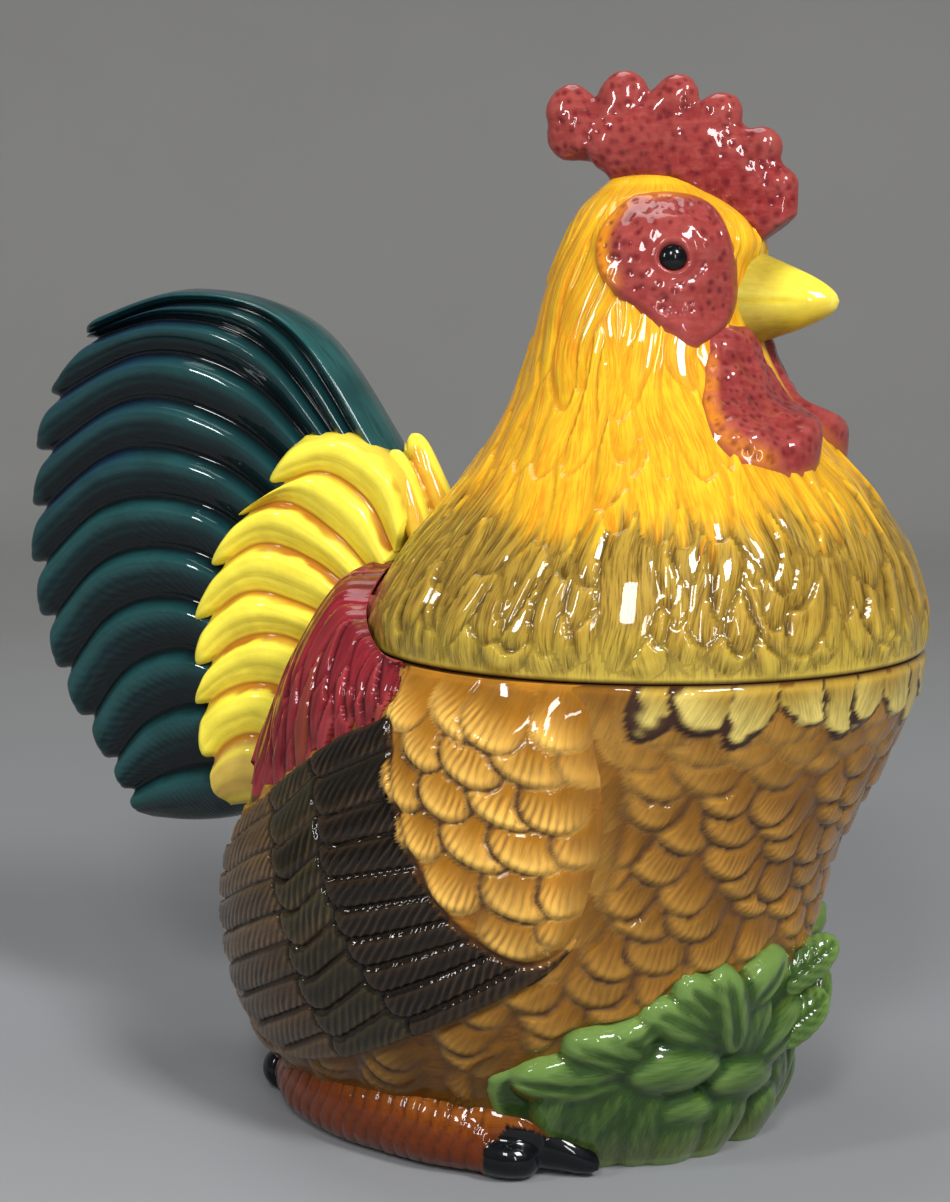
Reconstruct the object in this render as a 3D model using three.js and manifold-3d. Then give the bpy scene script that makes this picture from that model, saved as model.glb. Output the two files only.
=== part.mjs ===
// A glazed rooster storage jar: a hollow stoneware jar with a lift-off lid that is the bird's neck and head.
// Units are millimetres and +Z is up. The bird faces -Y, its right side is -X, and x = 0 is its mirror plane.
// The origin is the centre of the flat underside that the jar rests on.

import * as THREE from 'three';
import { mergeVertices } from 'three/addons/utils/BufferGeometryUtils.js';
import Module from 'manifold-3d';

const wasm = await Module();
wasm.setup();

// Driving dimensions
const JAR_WALL = 5.5;
const LID_WALL = 5;
const FLOOR = 7;
const FLOOR_COVE = 8; // how far the flat of the floor stops short of the wall
const RIM_HEIGHT = 149;
const GAP = 0.3; // between pieces that touch, and between the lid and the rim it rests on
const FLANGE_DEPTH = 8; // how far the lid's locating ring drops into the mouth
const FLANGE_CLEARANCE = 4; // lets the lid travel forward as it lifts, clear of the tail
const FLANGE_THICKNESS = 5;
const FLANGE_SHOULDER = 154; // height where the locating ring runs into the inside of the lid
const CAPE_INSIDE_FOOT = 162; // height where the inside of the lid starts to follow its outside
const WING_RELIEF = 4.5; // how far each raised area stands proud of the wall behind it
const SHOULDER_RELIEF = 8;
const SADDLE_RELIEF = 3;
const SADDLE_SETBACK = 2; // between the saddle feathers and the side of the tail fan
const FACE_RELIEF = 3;
const LEAF_RELIEF = 10;
const TAIL_THICKNESS = 26;
const TAIL_WALL = 4.5;
const TAIL_EDGE = 5; // rounding of the fan's edge
const COVERT_THICKNESS = 6;
const COVERT_EDGE = 2;
const COMB_THICKNESS = 13;
const COMB_EDGE = 2.5;
const DRAIN_HALF_WIDTH = 5; // half width of the slot between the tail fan's hollow and its root
const FLANK = -30; // x that a patch on the flank never reaches inwards of
const CHEEK = -13; // the same for a patch on the head
const EYE_RADIUS = 4;
const SEGMENTS = 36;
const SIDE_REACH = 130; // beyond the widest part of the bird

// Outer ovals of the jar and of the lid, from the bottom up: height, front, back and half width
const JAR_OVALS = [
  [0, -60, 70, 52],
  [12, -66, 92, 64],
  [35, -72, 106, 78],
  [60, -78, 108, 86],
  [85, -84, 104, 88],
  [110, -96, 90, 86],
  [135, -108, 70, 85],
  [RIM_HEIGHT, -111, 58, 85],
];
const LID_OVALS = [
  [RIM_HEIGHT + GAP, -111, 58, 85],
  [157, -111, 58, 85],
  [165, -109, 54, 83],
  [180, -104, 44, 76],
  [195, -94, 31, 65],
  [215, -76, 17, 49],
  [235, -63, 9, 37],
  [255, -59, 4, 31],
  [270, -62, -2, 28],
  [282, -58, -6, 20],
  [288, -46, -12, 12],
];
const LID_TOP = 290;

const GLAZE = 0.12;
const COLOURS = {
  ochre: 0xb9802c,
  yellow: 0xe3b21c,
  teal: 0x0d3d44,
  red: 0xa32a35,
  brown: 0x4a3218,
  orange: 0xb8520f,
  green: 0x3b6b22,
  black: 0x0b0b0d,
};

const rooster = new THREE.Group();

// --- Mesh helpers ---

// Merges coincident vertices and drops triangles that have collapsed to a line
function tidy(geometry) {
  const bare = geometry.clone();
  bare.deleteAttribute('normal');
  bare.deleteAttribute('uv');
  const merged = mergeVertices(bare, 1e-4);
  const index = merged.getIndex().array;
  const kept = [];
  for (let i = 0; i < index.length; i += 3) {
    const [a, b, c] = index.slice(i, i + 3);
    if (a !== b && b !== c && c !== a) kept.push(a, b, c);
  }
  merged.setIndex(kept);
  return merged;
}

function toSolid(geometry) {
  const merged = tidy(geometry);
  return new wasm.Manifold(new wasm.Mesh({
    numProp: 3,
    vertProperties: new Float32Array(merged.getAttribute('position').array),
    triVerts: new Uint32Array(merged.getIndex().array),
  }));
}

function toGeometry(solid) {
  const mesh = solid.getMesh();
  const geometry = new THREE.BufferGeometry();
  geometry.setAttribute('position', new THREE.BufferAttribute(mesh.vertProperties, 3));
  geometry.setIndex(new THREE.BufferAttribute(mesh.triVerts, 1));
  geometry.computeVertexNormals();
  return geometry;
}

function addPiece(name, geometry, colour) {
  const material = new THREE.MeshStandardMaterial({ color: colour, roughness: GLAZE, metalness: 0 });
  const mesh = new THREE.Mesh(geometry, material);
  mesh.name = name;
  rooster.add(mesh);
}

function mirrored(geometry) {
  const flipped = geometry.clone().scale(-1, 1, 1);
  const index = flipped.getIndex().array;
  for (let i = 0; i < index.length; i += 3) [index[i], index[i + 1]] = [index[i + 1], index[i]];
  flipped.computeVertexNormals();
  return flipped;
}

// Adds a piece made for the bird's right side, and its mirror image for the left
function addPair(name, solid, colour) {
  const right = toGeometry(solid);
  addPiece(`${name}_right`, right, colour);
  addPiece(`${name}_left`, mirrored(right), colour);
}

// --- Oval sections ---

// Reads a table of ovals at any height, as a smooth curve through its rows
function ovalReader(table) {
  const heights = table.map((row) => row[0]);
  const values = table.flatMap((row) => row.slice(1));
  const curve = new THREE.CubicInterpolant(heights, values, 3);
  return (z) => {
    const [front, back, half] = curve.evaluate(z);
    return { z, centre: (front + back) / 2, depth: (back - front) / 2, half };
  };
}

const jarOval = ovalReader(JAR_OVALS);
const lidOval = ovalReader(LID_OVALS);

function steps(from, to, count) {
  return Array.from({ length: count + 1 }, (_, i) => from + ((to - from) * i) / count);
}

// Moves a stack of ovals outwards by a distance along the stack's own slope
function grow(rings, distance) {
  return rings.map((ring, i) => {
    const below = rings[Math.max(i - 1, 0)];
    const above = rings[Math.min(i + 1, rings.length - 1)];
    const rise = above.z - below.z;
    const flare = (above.half + above.depth - below.half - below.depth) / 2;
    const length = Math.hypot(rise, flare);
    const out = (distance * rise) / length;
    return {
      z: ring.z - (distance * flare) / length,
      centre: ring.centre,
      depth: ring.depth + out,
      half: ring.half + out,
    };
  });
}

function inset(ring, distance, z) {
  return { z, centre: ring.centre, depth: ring.depth - distance, half: ring.half - distance };
}

// A point on the axis, which closes a stack of ovals
function pole(z, centre) {
  return { z, centre, depth: 0, half: 0 };
}

// A lathe whose every ring is then pulled to its own oval
function ovalSolid(rings) {
  const profile = rings.map((ring) => new THREE.Vector2(ring.half > 0 ? 1 : 0, ring.z));
  const geometry = new THREE.LatheGeometry(profile, SEGMENTS);
  const position = geometry.getAttribute('position');
  for (let k = 0; k < position.count; k += 1) {
    const ring = rings[k % rings.length];
    const column = Math.floor(k / rings.length) % SEGMENTS;
    const angle = (column / SEGMENTS) * 2 * Math.PI;
    const x = ring.half * Math.sin(angle);
    const y = ring.centre - ring.depth * Math.cos(angle);
    position.setXYZ(k, x, y, ring.z);
  }
  return toSolid(geometry);
}

const jarRings = steps(0, RIM_HEIGHT, 12).map(jarOval);
const lidRings = [...steps(RIM_HEIGHT + GAP, 270, 12), 280, 288].map(lidOval);
const lidTopCentre = lidRings.at(-1).centre;

// The outside of the jar or of the lid as a full solid, standing proud by a distance
function jarSkin(distance) {
  const rings = grow(jarRings, distance);
  const floor = Math.min(0, -distance);
  const first = { ...rings[0], z: floor };
  const last = { ...rings.at(-1), z: RIM_HEIGHT };
  return ovalSolid([pole(floor, first.centre), first, ...rings.slice(1, -1), last, pole(RIM_HEIGHT, last.centre)]);
}

function lidSkin(distance) {
  const rings = grow(lidRings, distance);
  const first = { ...rings[0], z: lidRings[0].z };
  return ovalSolid([
    pole(first.z, first.centre),
    first,
    ...rings.slice(1),
    pole(LID_TOP + distance, lidTopCentre),
  ]);
}

// --- Slabs ---

// Extrudes a smooth closed outline along +Z, with rounded edges; swell makes it larger all round
function slab(outline, thickness, rounding, swell = 0) {
  const points = outline.map(([a, b]) => new THREE.Vector3(a, b, 0));
  const loop = new THREE.CatmullRomCurve3(points, true, 'centripetal');
  const shape = new THREE.Shape(loop.getPoints(points.length * 2).slice(1));
  const geometry = new THREE.ExtrudeGeometry(shape, {
    depth: thickness + 2 * swell - 2 * rounding,
    bevelEnabled: rounding > 0 || swell > 0,
    bevelThickness: rounding,
    bevelSize: rounding,
    bevelOffset: swell - rounding,
    bevelSegments: 2,
  });
  return geometry.translate(0, 0, rounding - swell);
}

// A slab across the bird whose outline is given as (y, z), from x = from to x = to
function sideSlab(outline, from, to, rounding = 0, swell = 0) {
  const geometry = slab(outline, to - from, rounding, swell);
  const across = new THREE.Matrix4().makeBasis(
    new THREE.Vector3(0, 1, 0),
    new THREE.Vector3(0, 0, 1),
    new THREE.Vector3(1, 0, 0),
  );
  return toSolid(geometry.applyMatrix4(across).translate(from, 0, 0));
}

// A raised patch that hugs the bird's right side, inside an outline seen from that side
function sidePatch(skin, outline, height, inner) {
  return sideSlab(outline, -SIDE_REACH, inner).intersect(skin(height)).subtract(skin(GAP));
}

function ball(x, y, z, radii, turn = [0, 0, 0]) {
  const geometry = new THREE.SphereGeometry(1, 16, 10);
  geometry.scale(...radii);
  geometry.applyMatrix4(new THREE.Matrix4().makeRotationFromEuler(new THREE.Euler(...turn)));
  geometry.translate(x, y, z);
  return toSolid(geometry);
}

// --- The jar ---

function jarBody() {
  const inside = grow(jarRings, -JAR_WALL).filter((ring) => ring.z > FLOOR);
  const floorRing = inset(inside[0], FLOOR_COVE, FLOOR);
  const mouth = { ...inside.at(-1), z: RIM_HEIGHT };
  const rings = [
    pole(0, jarRings[0].centre),
    ...jarRings,
    mouth,
    ...inside.slice(0, -1).reverse(),
    floorRing,
    pole(FLOOR, floorRing.centre),
  ];
  return ovalSolid(rings);
}

const TAIL_OUTLINE = [
  [62, 152],
  [50, 190],
  [48, 206],
  [60, 226],
  [90, 250],
  [130, 257],
  [174, 243],
  [196, 208],
  [200, 178],
  [188, 130],
  [159, 91],
  [134, 74],
  [104, 62],
  [80, 60],
  [60, 100],
];
const TAIL_HOLLOW = [
  [66, 170],
  [60, 200],
  [72, 228],
  [112, 246],
  [160, 236],
  [186, 205],
  [188, 165],
  [172, 124],
  [150, 100],
  [122, 92],
];
const TAIL_DRAIN = [
  [74, 140],
  [92, 96],
  [126, 110],
  [110, 160],
];

function tailFan() {
  const half = TAIL_THICKNESS / 2;
  const inner = half - TAIL_WALL;
  const blade = sideSlab(TAIL_OUTLINE, -half, half, TAIL_EDGE);
  const hollow = sideSlab(TAIL_HOLLOW, -inner, inner).add(sideSlab(TAIL_DRAIN, -inner, inner));
  const drain = sideSlab([[60, 100], [86, 80], [112, 120], [90, 146]], -DRAIN_HALF_WIDTH, DRAIN_HALF_WIDTH);
  return blade.subtract(jarSkin(GAP)).subtract(hollow).subtract(drain);
}

// Rounded yellow feathers that lie on the root of the tail fan
function tailCoverts() {
  const near = -TAIL_THICKNESS / 2;
  const outline = [
    [52, 196],
    [56, 212],
    [92, 212],
    [112, 184],
    [124, 158],
    [128, 120],
    [124, 92],
    [104, 76],
    [84, 96],
    [76, 130],
    [66, 156],
  ];
  const lying = sideSlab(outline, near - COVERT_THICKNESS, near - GAP, COVERT_EDGE);
  return lying.subtract(jarSkin(GAP + WING_RELIEF));
}

// Red feathers between the wing and the tail
function saddle() {
  const outline = [
    [27, 148],
    [35, 138],
    [55, 125],
    [82, 101],
    [97, 88],
    [100, 104],
    [88, 128],
    [70, 152],
  ];
  return sidePatch(jarSkin, outline, SADDLE_RELIEF, -TAIL_THICKNESS / 2 - SADDLE_SETBACK);
}

// The shoulder of the wing is a plump lobe over the longer flight feathers
function wing() {
  const shoulder = [
    [19, 148],
    [-30, 148],
    [-46, 128],
    [-43, 98],
    [-28, 77],
    [-14, 72],
    [4, 90],
    [18, 114],
  ];
  const flight = [
    [24, 136],
    [50, 120],
    [78, 96],
    [92, 66],
    [84, 38],
    [60, 25],
    [20, 40],
    [-10, 54],
    [-33, 73],
    [-20, 110],
  ];
  const lobe = sidePatch(jarSkin, shoulder, SHOULDER_RELIEF, FLANK);
  return lobe.add(sidePatch(jarSkin, flight, WING_RELIEF, FLANK));
}

// --- Feet and foliage ---

const FOOT_OUTLINE = [
  [-18, 90],
  [-43, 73],
  [-62, 40],
  [-72, 12],
  [-74, -6],
  [-69, -24],
  [-62, -34],
  [-54, -28],
  [-44, 10],
  [-30, 60],
];
const ANKLE_OUTLINE = [
  [-60, 30],
  [-72, 8],
  [-70, -8],
  [-60, -14],
  [-50, 8],
];
const FOOT_HEIGHT = 16;
const ANKLE_HEIGHT = 28;

// A foot that wraps the side of the base, splayed outwards, with the ankle above its toes
function footMass(swell) {
  const toes = toSolid(slab(FOOT_OUTLINE, FOOT_HEIGHT, 0, swell));
  const ankle = toSolid(slab(ANKLE_OUTLINE, ANKLE_HEIGHT, 0, swell));
  return toes.add(ankle);
}

function foot() {
  return footMass(0).subtract(jarSkin(GAP));
}

// Leaves that climb the front of the jar between the feet, outlined as (x, z) from the front
function foliage() {
  const outline = [
    [-58, 0],
    [-72, 22],
    [-66, 42],
    [-44, 56],
    [-26, 66],
    [0, 60],
    [26, 66],
    [44, 56],
    [66, 42],
    [72, 22],
    [58, 0],
  ];
  const reach = 110;
  const front = toSolid(slab(outline, reach, 0).rotateX(Math.PI / 2).translate(0, -8, 0));
  const ground = new THREE.BoxGeometry(2 * reach, 2 * reach, reach).translate(0, 0, -reach / 2);
  const mass = front.intersect(jarSkin(LEAF_RELIEF)).subtract(jarSkin(GAP)).subtract(toSolid(ground));
  const feet = footMass(GAP);
  return mass.subtract(feet).subtract(toSolid(mirrored(toGeometry(feet))));
}

// --- The lid ---

function lidShell() {
  const rim = lidRings[0];
  const inner = grow(lidRings, -LID_WALL).filter((ring) => ring.z > CAPE_INSIDE_FOOT);
  const flangeOuter = JAR_WALL + FLANGE_CLEARANCE;
  const flangeInner = flangeOuter + FLANGE_THICKNESS;
  const flangeFoot = rim.z - FLANGE_DEPTH;
  const rings = [
    pole(LID_TOP - LID_WALL, lidTopCentre),
    ...inner.reverse(),
    inset(rim, flangeInner, FLANGE_SHOULDER),
    inset(rim, flangeInner, flangeFoot),
    inset(rim, flangeOuter, flangeFoot),
    inset(rim, flangeOuter, rim.z),
    ...lidRings,
    pole(LID_TOP, lidTopCentre),
  ];
  return ovalSolid(rings);
}

const COMB_OUTLINE = [
  [-8, 280],
  [-6, 291],
  [3, 297],
  [6, 310],
  [-4, 314],
  [-12, 310],
  [-20, 320],
  [-30, 312],
  [-40, 317],
  [-47, 308],
  [-55, 308],
  [-60, 297],
  [-69, 294],
  [-68, 286],
  [-73, 279],
  [-66, 271],
  [-52, 273],
];

function combMass(swell) {
  const half = COMB_THICKNESS / 2;
  return sideSlab(COMB_OUTLINE, -half, half, COMB_EDGE, swell);
}

function comb() {
  return combMass(0).subtract(lidSkin(GAP));
}

// A short blunt cone that closes on its own axis, which points forward
function beak() {
  const profile = [[0, 0], [15, 0], [14, 8], [10, 17], [5, 25], [2, 28], [0, 29]];
  const geometry = new THREE.LatheGeometry(profile.map(([r, z]) => new THREE.Vector2(r, z)), 24);
  geometry.scale(0.78, 1, 1);
  geometry.rotateX(Math.PI);
  geometry.translate(0, -55, 252.5);
  return toSolid(geometry).subtract(lidSkin(GAP)).subtract(combMass(GAP));
}

function facePatch() {
  const outline = [
    [-30, 283],
    [-47, 281],
    [-58, 269],
    [-57, 252],
    [-52, 240],
    [-40, 244],
    [-25, 253],
    [-19, 266],
    [-21, 277],
  ];
  return sidePatch(lidSkin, outline, FACE_RELIEF, CHEEK);
}

function eye() {
  return ball(-29, -41, 263, [EYE_RADIUS, EYE_RADIUS, EYE_RADIUS]).subtract(lidSkin(FACE_RELIEF + GAP));
}

function wattle() {
  const lobe = ball(-21, -66, 220, [9, 15, 16], [0, 0, -0.5]);
  const stem = ball(-14, -63, 227, [7, 9, 9.5]);
  return lobe.add(stem).subtract(lidSkin(GAP));
}

addPiece('jar_body', toGeometry(jarBody()), COLOURS.ochre);
addPiece('tail_fan', toGeometry(tailFan()), COLOURS.teal);
addPair('tail_coverts', tailCoverts(), COLOURS.yellow);
addPair('saddle', saddle(), COLOURS.red);
addPair('wing', wing(), COLOURS.brown);
addPair('foot', foot(), COLOURS.orange);
addPiece('foliage', toGeometry(foliage()), COLOURS.green);
addPiece('lid_shell', toGeometry(lidShell()), COLOURS.yellow);
addPiece('comb', toGeometry(comb()), COLOURS.red);
addPiece('beak', toGeometry(beak()), COLOURS.yellow);
addPair('face', facePatch(), COLOURS.red);
addPair('eye', eye(), COLOURS.black);
addPair('wattle', wattle(), COLOURS.red);

export default rooster;
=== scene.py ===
"""The glazed, hand-painted surface of a rooster jar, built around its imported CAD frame.

Lengths are in millimetres until a mesh is made. +Z is up, the bird faces -Y, its right side is -X,
and an angle round the bird is 0 at its breast and positive towards its left.
"""
import math

import bpy
import numpy as np
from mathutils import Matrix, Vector


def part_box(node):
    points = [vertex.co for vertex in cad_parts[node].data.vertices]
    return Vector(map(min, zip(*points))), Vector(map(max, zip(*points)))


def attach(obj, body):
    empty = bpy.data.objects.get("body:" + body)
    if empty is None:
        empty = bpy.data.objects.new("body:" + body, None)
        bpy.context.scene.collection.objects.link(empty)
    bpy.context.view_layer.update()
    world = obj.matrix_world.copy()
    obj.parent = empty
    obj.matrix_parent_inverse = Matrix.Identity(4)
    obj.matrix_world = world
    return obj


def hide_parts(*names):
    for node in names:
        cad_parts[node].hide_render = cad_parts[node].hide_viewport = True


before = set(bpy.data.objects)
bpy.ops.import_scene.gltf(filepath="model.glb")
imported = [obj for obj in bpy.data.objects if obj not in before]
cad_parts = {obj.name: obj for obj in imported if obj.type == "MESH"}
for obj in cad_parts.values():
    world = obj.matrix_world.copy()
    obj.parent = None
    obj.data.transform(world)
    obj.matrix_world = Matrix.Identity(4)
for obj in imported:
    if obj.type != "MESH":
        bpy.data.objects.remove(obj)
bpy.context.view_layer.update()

MM = 0.001
TAU = 2 * math.pi
rng = np.random.default_rng(7)

# Glaze colours, linear RGB
OCHRE = (0.240, 0.098, 0.008)
OCHRE_LIGHT = (0.52, 0.30, 0.060)
OCHRE_DARK = (0.14, 0.048, 0.005)
PLUM = (0.060, 0.024, 0.013)
YELLOW = (0.67, 0.39, 0.016)
LEMON = (0.93, 0.80, 0.070)
ORANGE = (0.66, 0.23, 0.009)
DEEP_GOLD = (0.50, 0.19, 0.008)
OLIVE_DARK = (0.07, 0.040, 0.006)
OLIVE = (0.095, 0.046, 0.007)
MUSTARD = (0.36, 0.225, 0.030)
STRAW = (0.60, 0.47, 0.12)
BROWN = (0.040, 0.016, 0.007)
UMBER = (0.085, 0.038, 0.014)
SEPIA = (0.006, 0.004, 0.003)
TEAL = (0.002, 0.019, 0.023)
TEAL_LIGHT = (0.020, 0.085, 0.085)
NAVY = (0.006, 0.012, 0.050)
INK = (0.002, 0.003, 0.004)
RED = (0.195, 0.016, 0.018)
RED_LIGHT = (0.34, 0.070, 0.058)
RED_DARK = (0.100, 0.008, 0.012)
# The feet's orange as it looks low down in shade: painted shade.
SHADED_FOOT_ORANGE = (0.13, 0.023, 0.002)
GREEN = (0.030, 0.068, 0.012)
GREEN_LIGHT = (0.072, 0.135, 0.024)
GREEN_DARK = (0.010, 0.032, 0.008)
CREAM = (0.78, 0.74, 0.64)


# --- Small numeric helpers ---

def smooth(lo, hi, x):
    """A smooth step from 0 at lo to 1 at hi."""
    t = np.clip((np.asarray(x, float) - lo) / (hi - lo), 0, 1)
    return t * t * (3 - 2 * t)


def blend(a, b, t):
    """Mixes two colours, or arrays of colours, by one factor per point."""
    t = np.asarray(t, float)[..., None]
    return np.asarray(a, float) * (1 - t) + np.asarray(b, float) * t


def unit(v):
    return v / np.maximum(np.linalg.norm(v, axis=-1, keepdims=True), 1e-12)


def hermite(x, knots, values):
    """A smooth curve through rows of values, read at x."""
    knots, values = np.asarray(knots, float), np.asarray(values, float)
    slopes = np.gradient(values, knots, axis=0)
    x = np.clip(np.asarray(x, float), knots[0], knots[-1])
    i = np.clip(np.searchsorted(knots, x) - 1, 0, len(knots) - 2)
    h = (knots[i + 1] - knots[i])[..., None]
    t = (x - knots[i])[..., None] / h
    a, b, ma, mb = values[i], values[i + 1], slopes[i], slopes[i + 1]
    return ((1 + 2 * t) * (1 - t) ** 2 * a + t * (1 - t) ** 2 * h * ma
            + t * t * (3 - 2 * t) * b + t * t * (t - 1) * h * mb)


def along(points, count):
    """Points spread along a smooth curve through a few points."""
    points = np.asarray(points, float)
    return hermite(np.linspace(0, len(points) - 1, count), np.arange(len(points)), points)


def lumps(points, size, seed):
    """Smooth random value about -1..1 at each point, with lumps of a given size."""
    lattice = np.random.default_rng(seed).uniform(-0.7, 0.7, (32, 32, 32))
    place = points / size
    cell = np.floor(place).astype(int)
    part = place - cell
    part = part * part * (3 - 2 * part)
    out = np.zeros(len(points))
    for corner in np.ndindex(2, 2, 2):
        weight = np.where(corner, part, 1 - part).prod(1)
        i, j, k = ((cell + corner) % 32).T
        out += weight * lattice[i, j, k]
    return out


# --- The smooth bodies, read from the CAD frame ---

def node_box(name):
    low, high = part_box(name)
    return np.array(low) / MM, np.array(high) / MM


RIM = node_box("jar_body")[1][2]
TOP = node_box("lid_shell")[1][2]
SEAM = RIM + 0.3


class Body:
    """The outside of a CAD node as a stack of ovals, found by casting rays at it."""

    def __init__(self, node, levels):
        self.levels = np.asarray(levels, float)
        self.rows = np.array([self.measure(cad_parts[node], z) for z in self.levels])

    @staticmethod
    def measure(node, z):
        def hit(x, y, direction):
            found, place, _, _ = node.ray_cast(Vector((x, y, z)) * MM, Vector(direction))
            if not found:
                raise RuntimeError(f"no surface of {node.name} at height {z}")
            return np.array(place) / MM
        front = hit(0, -500, (0, 1, 0))[1]
        back = hit(0, 500, (0, -1, 0))[1]
        half = hit(500, (front + back) / 2, (-1, 0, 0))[0]
        return front, back, half

    def oval(self, z):
        """The front, back and half width of the body at a height."""
        return np.moveaxis(hermite(z, self.levels, self.rows), -1, 0)

    def at(self, angle, z, out=0.0):
        """Points at an angle and a height, standing proud by a distance."""
        front, back, half = self.oval(z)
        centre, depth = (front + back) / 2, (back - front) / 2
        x = half * np.sin(angle)
        y = centre - depth * np.cos(angle)
        surface = np.stack(np.broadcast_arrays(x, y, z), -1)
        if np.any(out):
            surface = surface + self.normal(angle, z) * np.asarray(out, float)[..., None]
        return surface

    def normal(self, angle, z):
        step = 0.5
        low, high = self.levels[0], self.levels[-1]
        up = self.at(angle, np.minimum(z + step, high)) - self.at(angle, np.maximum(z - step, low))
        around = self.at(angle + 0.01, z) - self.at(angle - 0.01, z)
        return unit(np.cross(around, up))

    def near(self, y, z, side=-1, out=0.0):
        """The surface point on one side of the bird at a given y and z."""
        return self.at(self.angle_at(y, z, side), z, out)

    def angle_at(self, y, z, side=-1):
        """The angle round the body of the surface point on one side at a given y and z."""
        front, back, _ = self.oval(z)
        return side * np.arccos(np.clip(((front + back) / 2 - y) / ((back - front) / 2), -1, 1))

    def angle_of(self, points):
        """The angles round the body at which points lie, in or out of its surface."""
        front, back, half = self.oval(points[..., 2])
        ahead = ((front + back) / 2 - points[..., 1]) / ((back - front) / 2)
        return np.arctan2(points[..., 0] / half, ahead)


jar = Body("jar_body", np.linspace(0.01, RIM - 0.01, 13))
lid = Body("lid_shell", np.append(np.linspace(SEAM + 0.01, 270, 13), (280, 287.9)))
# The brow is rounder than the frame's: changes to the front, back and half width of the three top ovals
lid.rows[-3:] += [(1.0, 0, -0.5), (8.0, -1.5, -4.0), (8.0, -3.0, -5.0)]


# --- Meshes ---

def grid_faces(rows, cols, wrap):
    """Quads of a grid of points stored row by row."""
    last = cols if wrap else cols - 1
    j, i = np.meshgrid(np.arange(rows - 1), np.arange(last), indexing="ij")
    a, b = j * cols + i, j * cols + (i + 1) % cols
    return np.stack([a, b, b + cols, a + cols], -1).reshape(-1, 4)


def capped(rings, first, last):
    """A closed skin over rings of points, drawn together to one point at each end."""
    rings = np.asarray(rings, float)
    count, cols = rings.shape[:2]
    verts = np.concatenate([rings.reshape(-1, 3), [first], [last]])
    faces = [list(f) for f in grid_faces(count, cols, True)]
    start = (count - 1) * cols
    for i in range(cols):
        j = (i + 1) % cols
        faces.append([j, i, count * cols])
        faces.append([start + i, start + j, count * cols + 1])
    return verts, faces


def make_mesh(name, verts, faces):
    mesh = bpy.data.meshes.new(name)
    mesh.from_pydata((np.asarray(verts) * MM).tolist(), [], [list(f) for f in faces])
    mesh.validate()
    mesh.update()
    return mesh


def read_verts(mesh):
    out = np.empty(len(mesh.vertices) * 3)
    mesh.vertices.foreach_get("co", out)
    return out.reshape(-1, 3) / MM


def read_normals(mesh):
    out = np.empty(len(mesh.vertices) * 3)
    mesh.vertices.foreach_get("normal", out)
    return out.reshape(-1, 3)


def read_edges(mesh):
    out = np.empty(len(mesh.edges) * 2, dtype=np.int64)
    mesh.edges.foreach_get("vertices", out)
    return out.reshape(-1, 2)


def write_verts(mesh, verts):
    mesh.vertices.foreach_set("co", (np.asarray(verts) * MM).ravel())
    mesh.update()


def relaxed(values, edges, rounds):
    """Averages per-point values with their neighbours, several times."""
    values = np.array(values, float)
    ends = np.concatenate([edges, edges[:, ::-1]])
    count = np.maximum(np.bincount(ends[:, 0], minlength=len(values)), 1)
    for _ in range(rounds):
        columns = values.reshape(len(values), -1).T
        total = [np.bincount(ends[:, 0], weights=c[ends[:, 1]], minlength=len(values)) for c in columns]
        values = (0.5 * columns + 0.5 * np.array(total) / count).T.reshape(values.shape)
    return values


def add_attribute(mesh, name, values):
    values = np.asarray(values, float)
    if values.ndim == 1:
        mesh.attributes.new(name, "FLOAT", "POINT").data.foreach_set("value", values)
    elif name.startswith("paint"):
        rgba = np.concatenate([np.clip(values, 0, 1), np.ones((len(values), 1))], 1)
        mesh.attributes.new(name, "FLOAT_COLOR", "POINT").data.foreach_set("color", rgba.ravel())
    else:
        mesh.attributes.new(name, "FLOAT_VECTOR", "POINT").data.foreach_set("vector", values.ravel())


def add_piece(name, mesh, body, material, replaced, paint, brush, flow,
              deep=None, bare_highlight=None, pit=None, barb=None):
    """Finishes a piece: measures its hollows and crests, stores its paint, and ties it to the frame.

    paint and brush are the two underglaze colours, deep the colour in hollows, where glaze pools and as
    painted shade, and bare_highlight the colour on crests, where it runs thin and as painted highlight. flow
    lies along the brush strokes, pit is 1 at the middle of a dimple, and barb holds how many barbs along a
    feather a point is and how clear they are there.
    """
    verts, normals, edges = read_verts(mesh), read_normals(mesh), read_edges(mesh)
    sunk = ((relaxed(verts, edges, 6) - verts) * normals).sum(1) / 0.30
    wide = ((relaxed(verts, edges, 24) - verts) * normals).sum(1) / 0.80
    paint = np.broadcast_to(paint, verts.shape)
    # How hollow each point is, from -1 on crests to 1 in hollows: where glaze pools, and where painted shade
    # goes in hollows and painted highlight on crests.
    add_attribute(mesh, "pool_and_shade", np.clip(relaxed(0.6 * sunk + 0.6 * wide, edges, 2), -1, 1))
    add_attribute(mesh, "paint", paint)
    add_attribute(mesh, "paint_brush", np.broadcast_to(brush, verts.shape))
    add_attribute(mesh, "paint_deep_shade", np.broadcast_to(paint * 0.25 if deep is None else deep, verts.shape))
    add_attribute(mesh, "paint_bare_highlight", np.broadcast_to(paint * 1.5 if bare_highlight is None else bare_highlight, verts.shape))
    add_attribute(mesh, "flow", flow)
    add_attribute(mesh, "pit", np.zeros(len(verts)) if pit is None else pit)
    barb = np.zeros((len(verts), 2)) if barb is None else barb
    add_attribute(mesh, "barb_phase", barb[:, 0])
    add_attribute(mesh, "barb", barb[:, 1])
    mesh.shade_smooth()
    piece = bpy.data.objects.new(name, mesh)
    bpy.context.collection.objects.link(piece)
    mesh.materials.append(material)
    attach(piece, body)
    if replaced:
        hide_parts(*replaced)
    return piece


def on_side(stem, side):
    return stem + ("_left" if side > 0 else "_right")


def blunt(places, power=5, least=0.02):
    """The share of a width that is left from -1 to 1 along a path with rounded ends."""
    return np.sqrt(np.clip(1 - np.abs(places) ** power, least, 1))


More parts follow.
